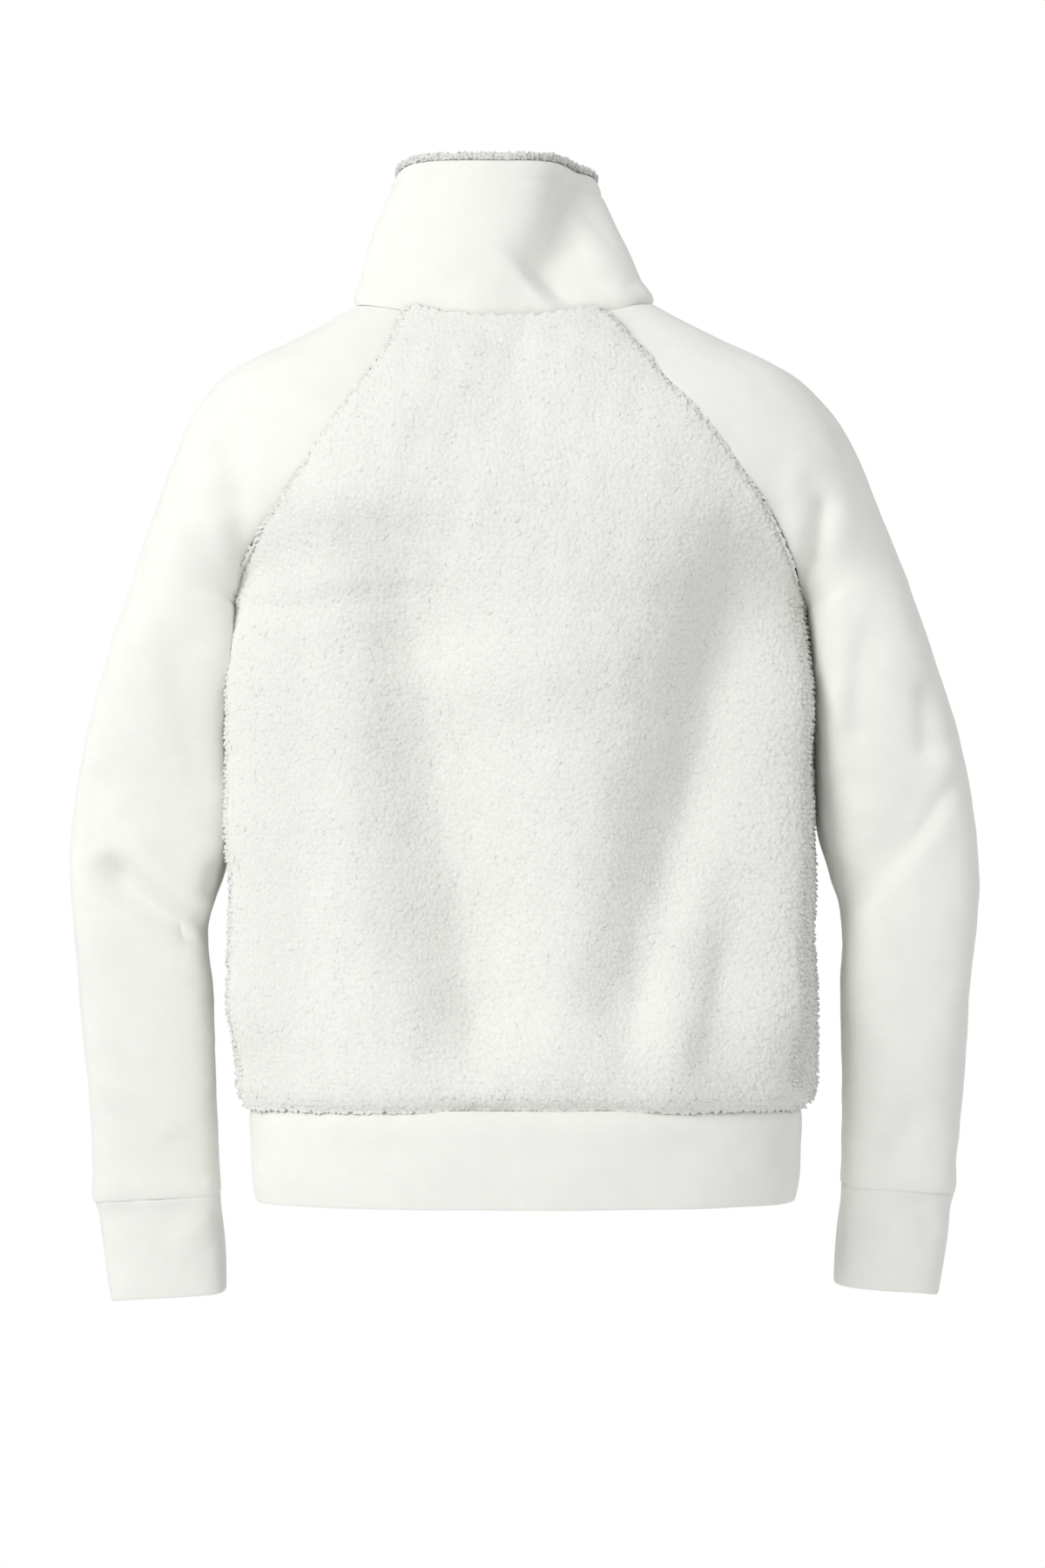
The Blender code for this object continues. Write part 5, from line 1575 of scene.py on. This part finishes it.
def add_collar_stitches(collar):
    """The stitch line that holds down the collar's turned edge."""
    grid, normals = collar.grid(), collar.normal_grid()
    down = running(grid, 0)
    from_top = down[-1] - down
    columns = range(grid.shape[1])
    line, out = (
        np.array([sampled(-COLLAR_STITCH, -from_top[:, c], table[:, c]) for c in columns])
        for table in (grid, normals)
    )
    inside = slice(STITCH_MARGIN, -STITCH_MARGIN)
    return add_stitches("collar_stitches", line[inside], out[inside])


cloth = add_cloth()
lining_wall, lining_curls = add_lining(cloth["collar"][0])
path = ZipPath(cloth)
for side in (1, -1):
    add_tape(path, side)
add_teeth(path, BOX_LENGTH + PART_GAP, path.length - SLIDER_LENGTH - PART_GAP)
add_box(path)
head = head_frame()
add_slider(head)
add_pull(head)
collar_stitches = add_collar_stitches(cloth["collar"][0])

# How each panel was cut: width, length and area, all in metres.
CUTS = {
    "back": (0.520, 0.620, 0.232),
    "front_left": (0.270, 0.600, 0.108),
    "front_right": (0.270, 0.600, 0.108),
    "sleeve_left": (0.390, 0.720, 0.194),
    "sleeve_right": (0.390, 0.720, 0.194),
    "cuff_left": (0.265, 0.068, 0.0166),
    "cuff_right": (0.265, 0.068, 0.0166),
    "hem_band": (1.000, 0.066, 0.062),
    "collar": (0.620, 0.112, 0.052),
    "collar_lining": (0.600, 0.112, 0.047),
}

# The back's curls are two pieces, on either side of its middle.
BACK_MIDDLE = LEAN[1, 1]
BACK_HALVES = (
    ("left", lambda feet: feet[:, 0] >= BACK_MIDDLE),
    ("right", lambda feet: feet[:, 0] < BACK_MIDDLE),
)

for name, (width, length, area) in CUTS.items():
    if name == "back":
        for half, chosen in BACK_HALVES:
            curls = cloth[name][2].mesh("back_curls_" + half, SHERPA_CLOTH, chosen)
            put_on(curls)
    elif name.startswith("front"):
        put_on(cloth[name][2].mesh(name + "_curls", SHERPA_CLOTH))


# Camera: its distance, sensor width, and the height and middle (x, z) of its view.
CAMERA_DISTANCE = 4.0
SENSOR_WIDTH = 36.0
VIEW_HEIGHT = 1.08
VIEW_CENTRE = (-0.0132, -0.3252)

# Light: the surroundings' own strength, and place, size, power and colour of the softboxes.
WHITE = (1.0, 1.0, 1.0)
WARM_WHITE = (1.0, 1.0, 0.995)
AMBIENT = 0.65
KEY_PLACE = (2.5, 2.6, 1.2)
KEY_SIZE = 1.8
KEY_POWER = 73.0
FILL_PLACE = (-2.2, 2.6, -0.2)
FILL_SIZE = 2.2
FILL_POWER = 4.0
LIT_MIDDLE = (-0.01, 0.0, -0.30)

# Floor, a disc under the jacket.
FLOOR_HEIGHT = -0.95
FLOOR_RADIUS = 0.55
FLOOR_CORNERS = 96


def add_light(name, place, size, power, colour):
    """A square softbox that faces the jacket."""
    data = bpy.data.lights.new(name, "AREA")
    data.shape = "SQUARE"
    data.size = size
    data.energy = power
    data.color = colour
    made = add_object(name, data)
    made.location = place
    away = Vector(LIT_MIDDLE) - Vector(place)
    made.rotation_euler = away.to_track_quat("-Z", "Y").to_euler()


def add_studio():
    """White surroundings, a softbox at the upper left of the view and a weak one at its right."""
    world = bpy.data.worlds.new("studio")
    bpy.context.scene.world = world
    world.use_nodes = True
    tree = world.node_tree
    shown = tree.nodes["Background"]
    shown.inputs["Color"].default_value = (*WHITE, 1.0)
    shown.inputs["Strength"].default_value = 1.0
    ambient = node(tree, "ShaderNodeBackground", Color=(*WHITE, 1.0), Strength=AMBIENT)
    path_kind = tree.nodes.new("ShaderNodeLightPath")
    mix = tree.nodes.new("ShaderNodeMixShader")
    tree.links.new(path_kind.outputs["Is Camera Ray"], mix.inputs["Fac"])
    tree.links.new(ambient.outputs["Background"], mix.inputs[1])
    tree.links.new(shown.outputs["Background"], mix.inputs[2])
    tree.links.new(mix.outputs["Shader"], tree.nodes["World Output"].inputs["Surface"])
    add_light("key", KEY_PLACE, KEY_SIZE, KEY_POWER, WARM_WHITE)
    add_light("fill", FILL_PLACE, FILL_SIZE, FILL_POWER, WHITE)


def add_camera():
    """The photo's view: level, from behind, about four metres away."""
    data = bpy.data.cameras.new("view")
    data.sensor_width = SENSOR_WIDTH
    data.lens = data.sensor_width * CAMERA_DISTANCE / VIEW_HEIGHT
    made = add_object("view", data)
    made.location = (VIEW_CENTRE[0], CAMERA_DISTANCE, VIEW_CENTRE[1])
    made.rotation_euler = (math.pi / 2, 0.0, math.pi)
    bpy.context.scene.camera = made


def add_floor():
    """A plain pale floor under the jacket."""
    paint = finish("floor_paint", 0.9, PAINT_DARK, PAINT_LIGHT, 0.03, 0.002, 0.0002)
    points = stacked([(FLOOR_RADIUS * circle(FLOOR_CORNERS), FLOOR_HEIGHT)])
    make_mesh("floor", points, [np.arange(FLOOR_CORNERS)[None]], paint, smooth=False)


add_studio()
add_camera()
add_floor()
bpy.context.scene.view_settings.view_transform = "Standard"
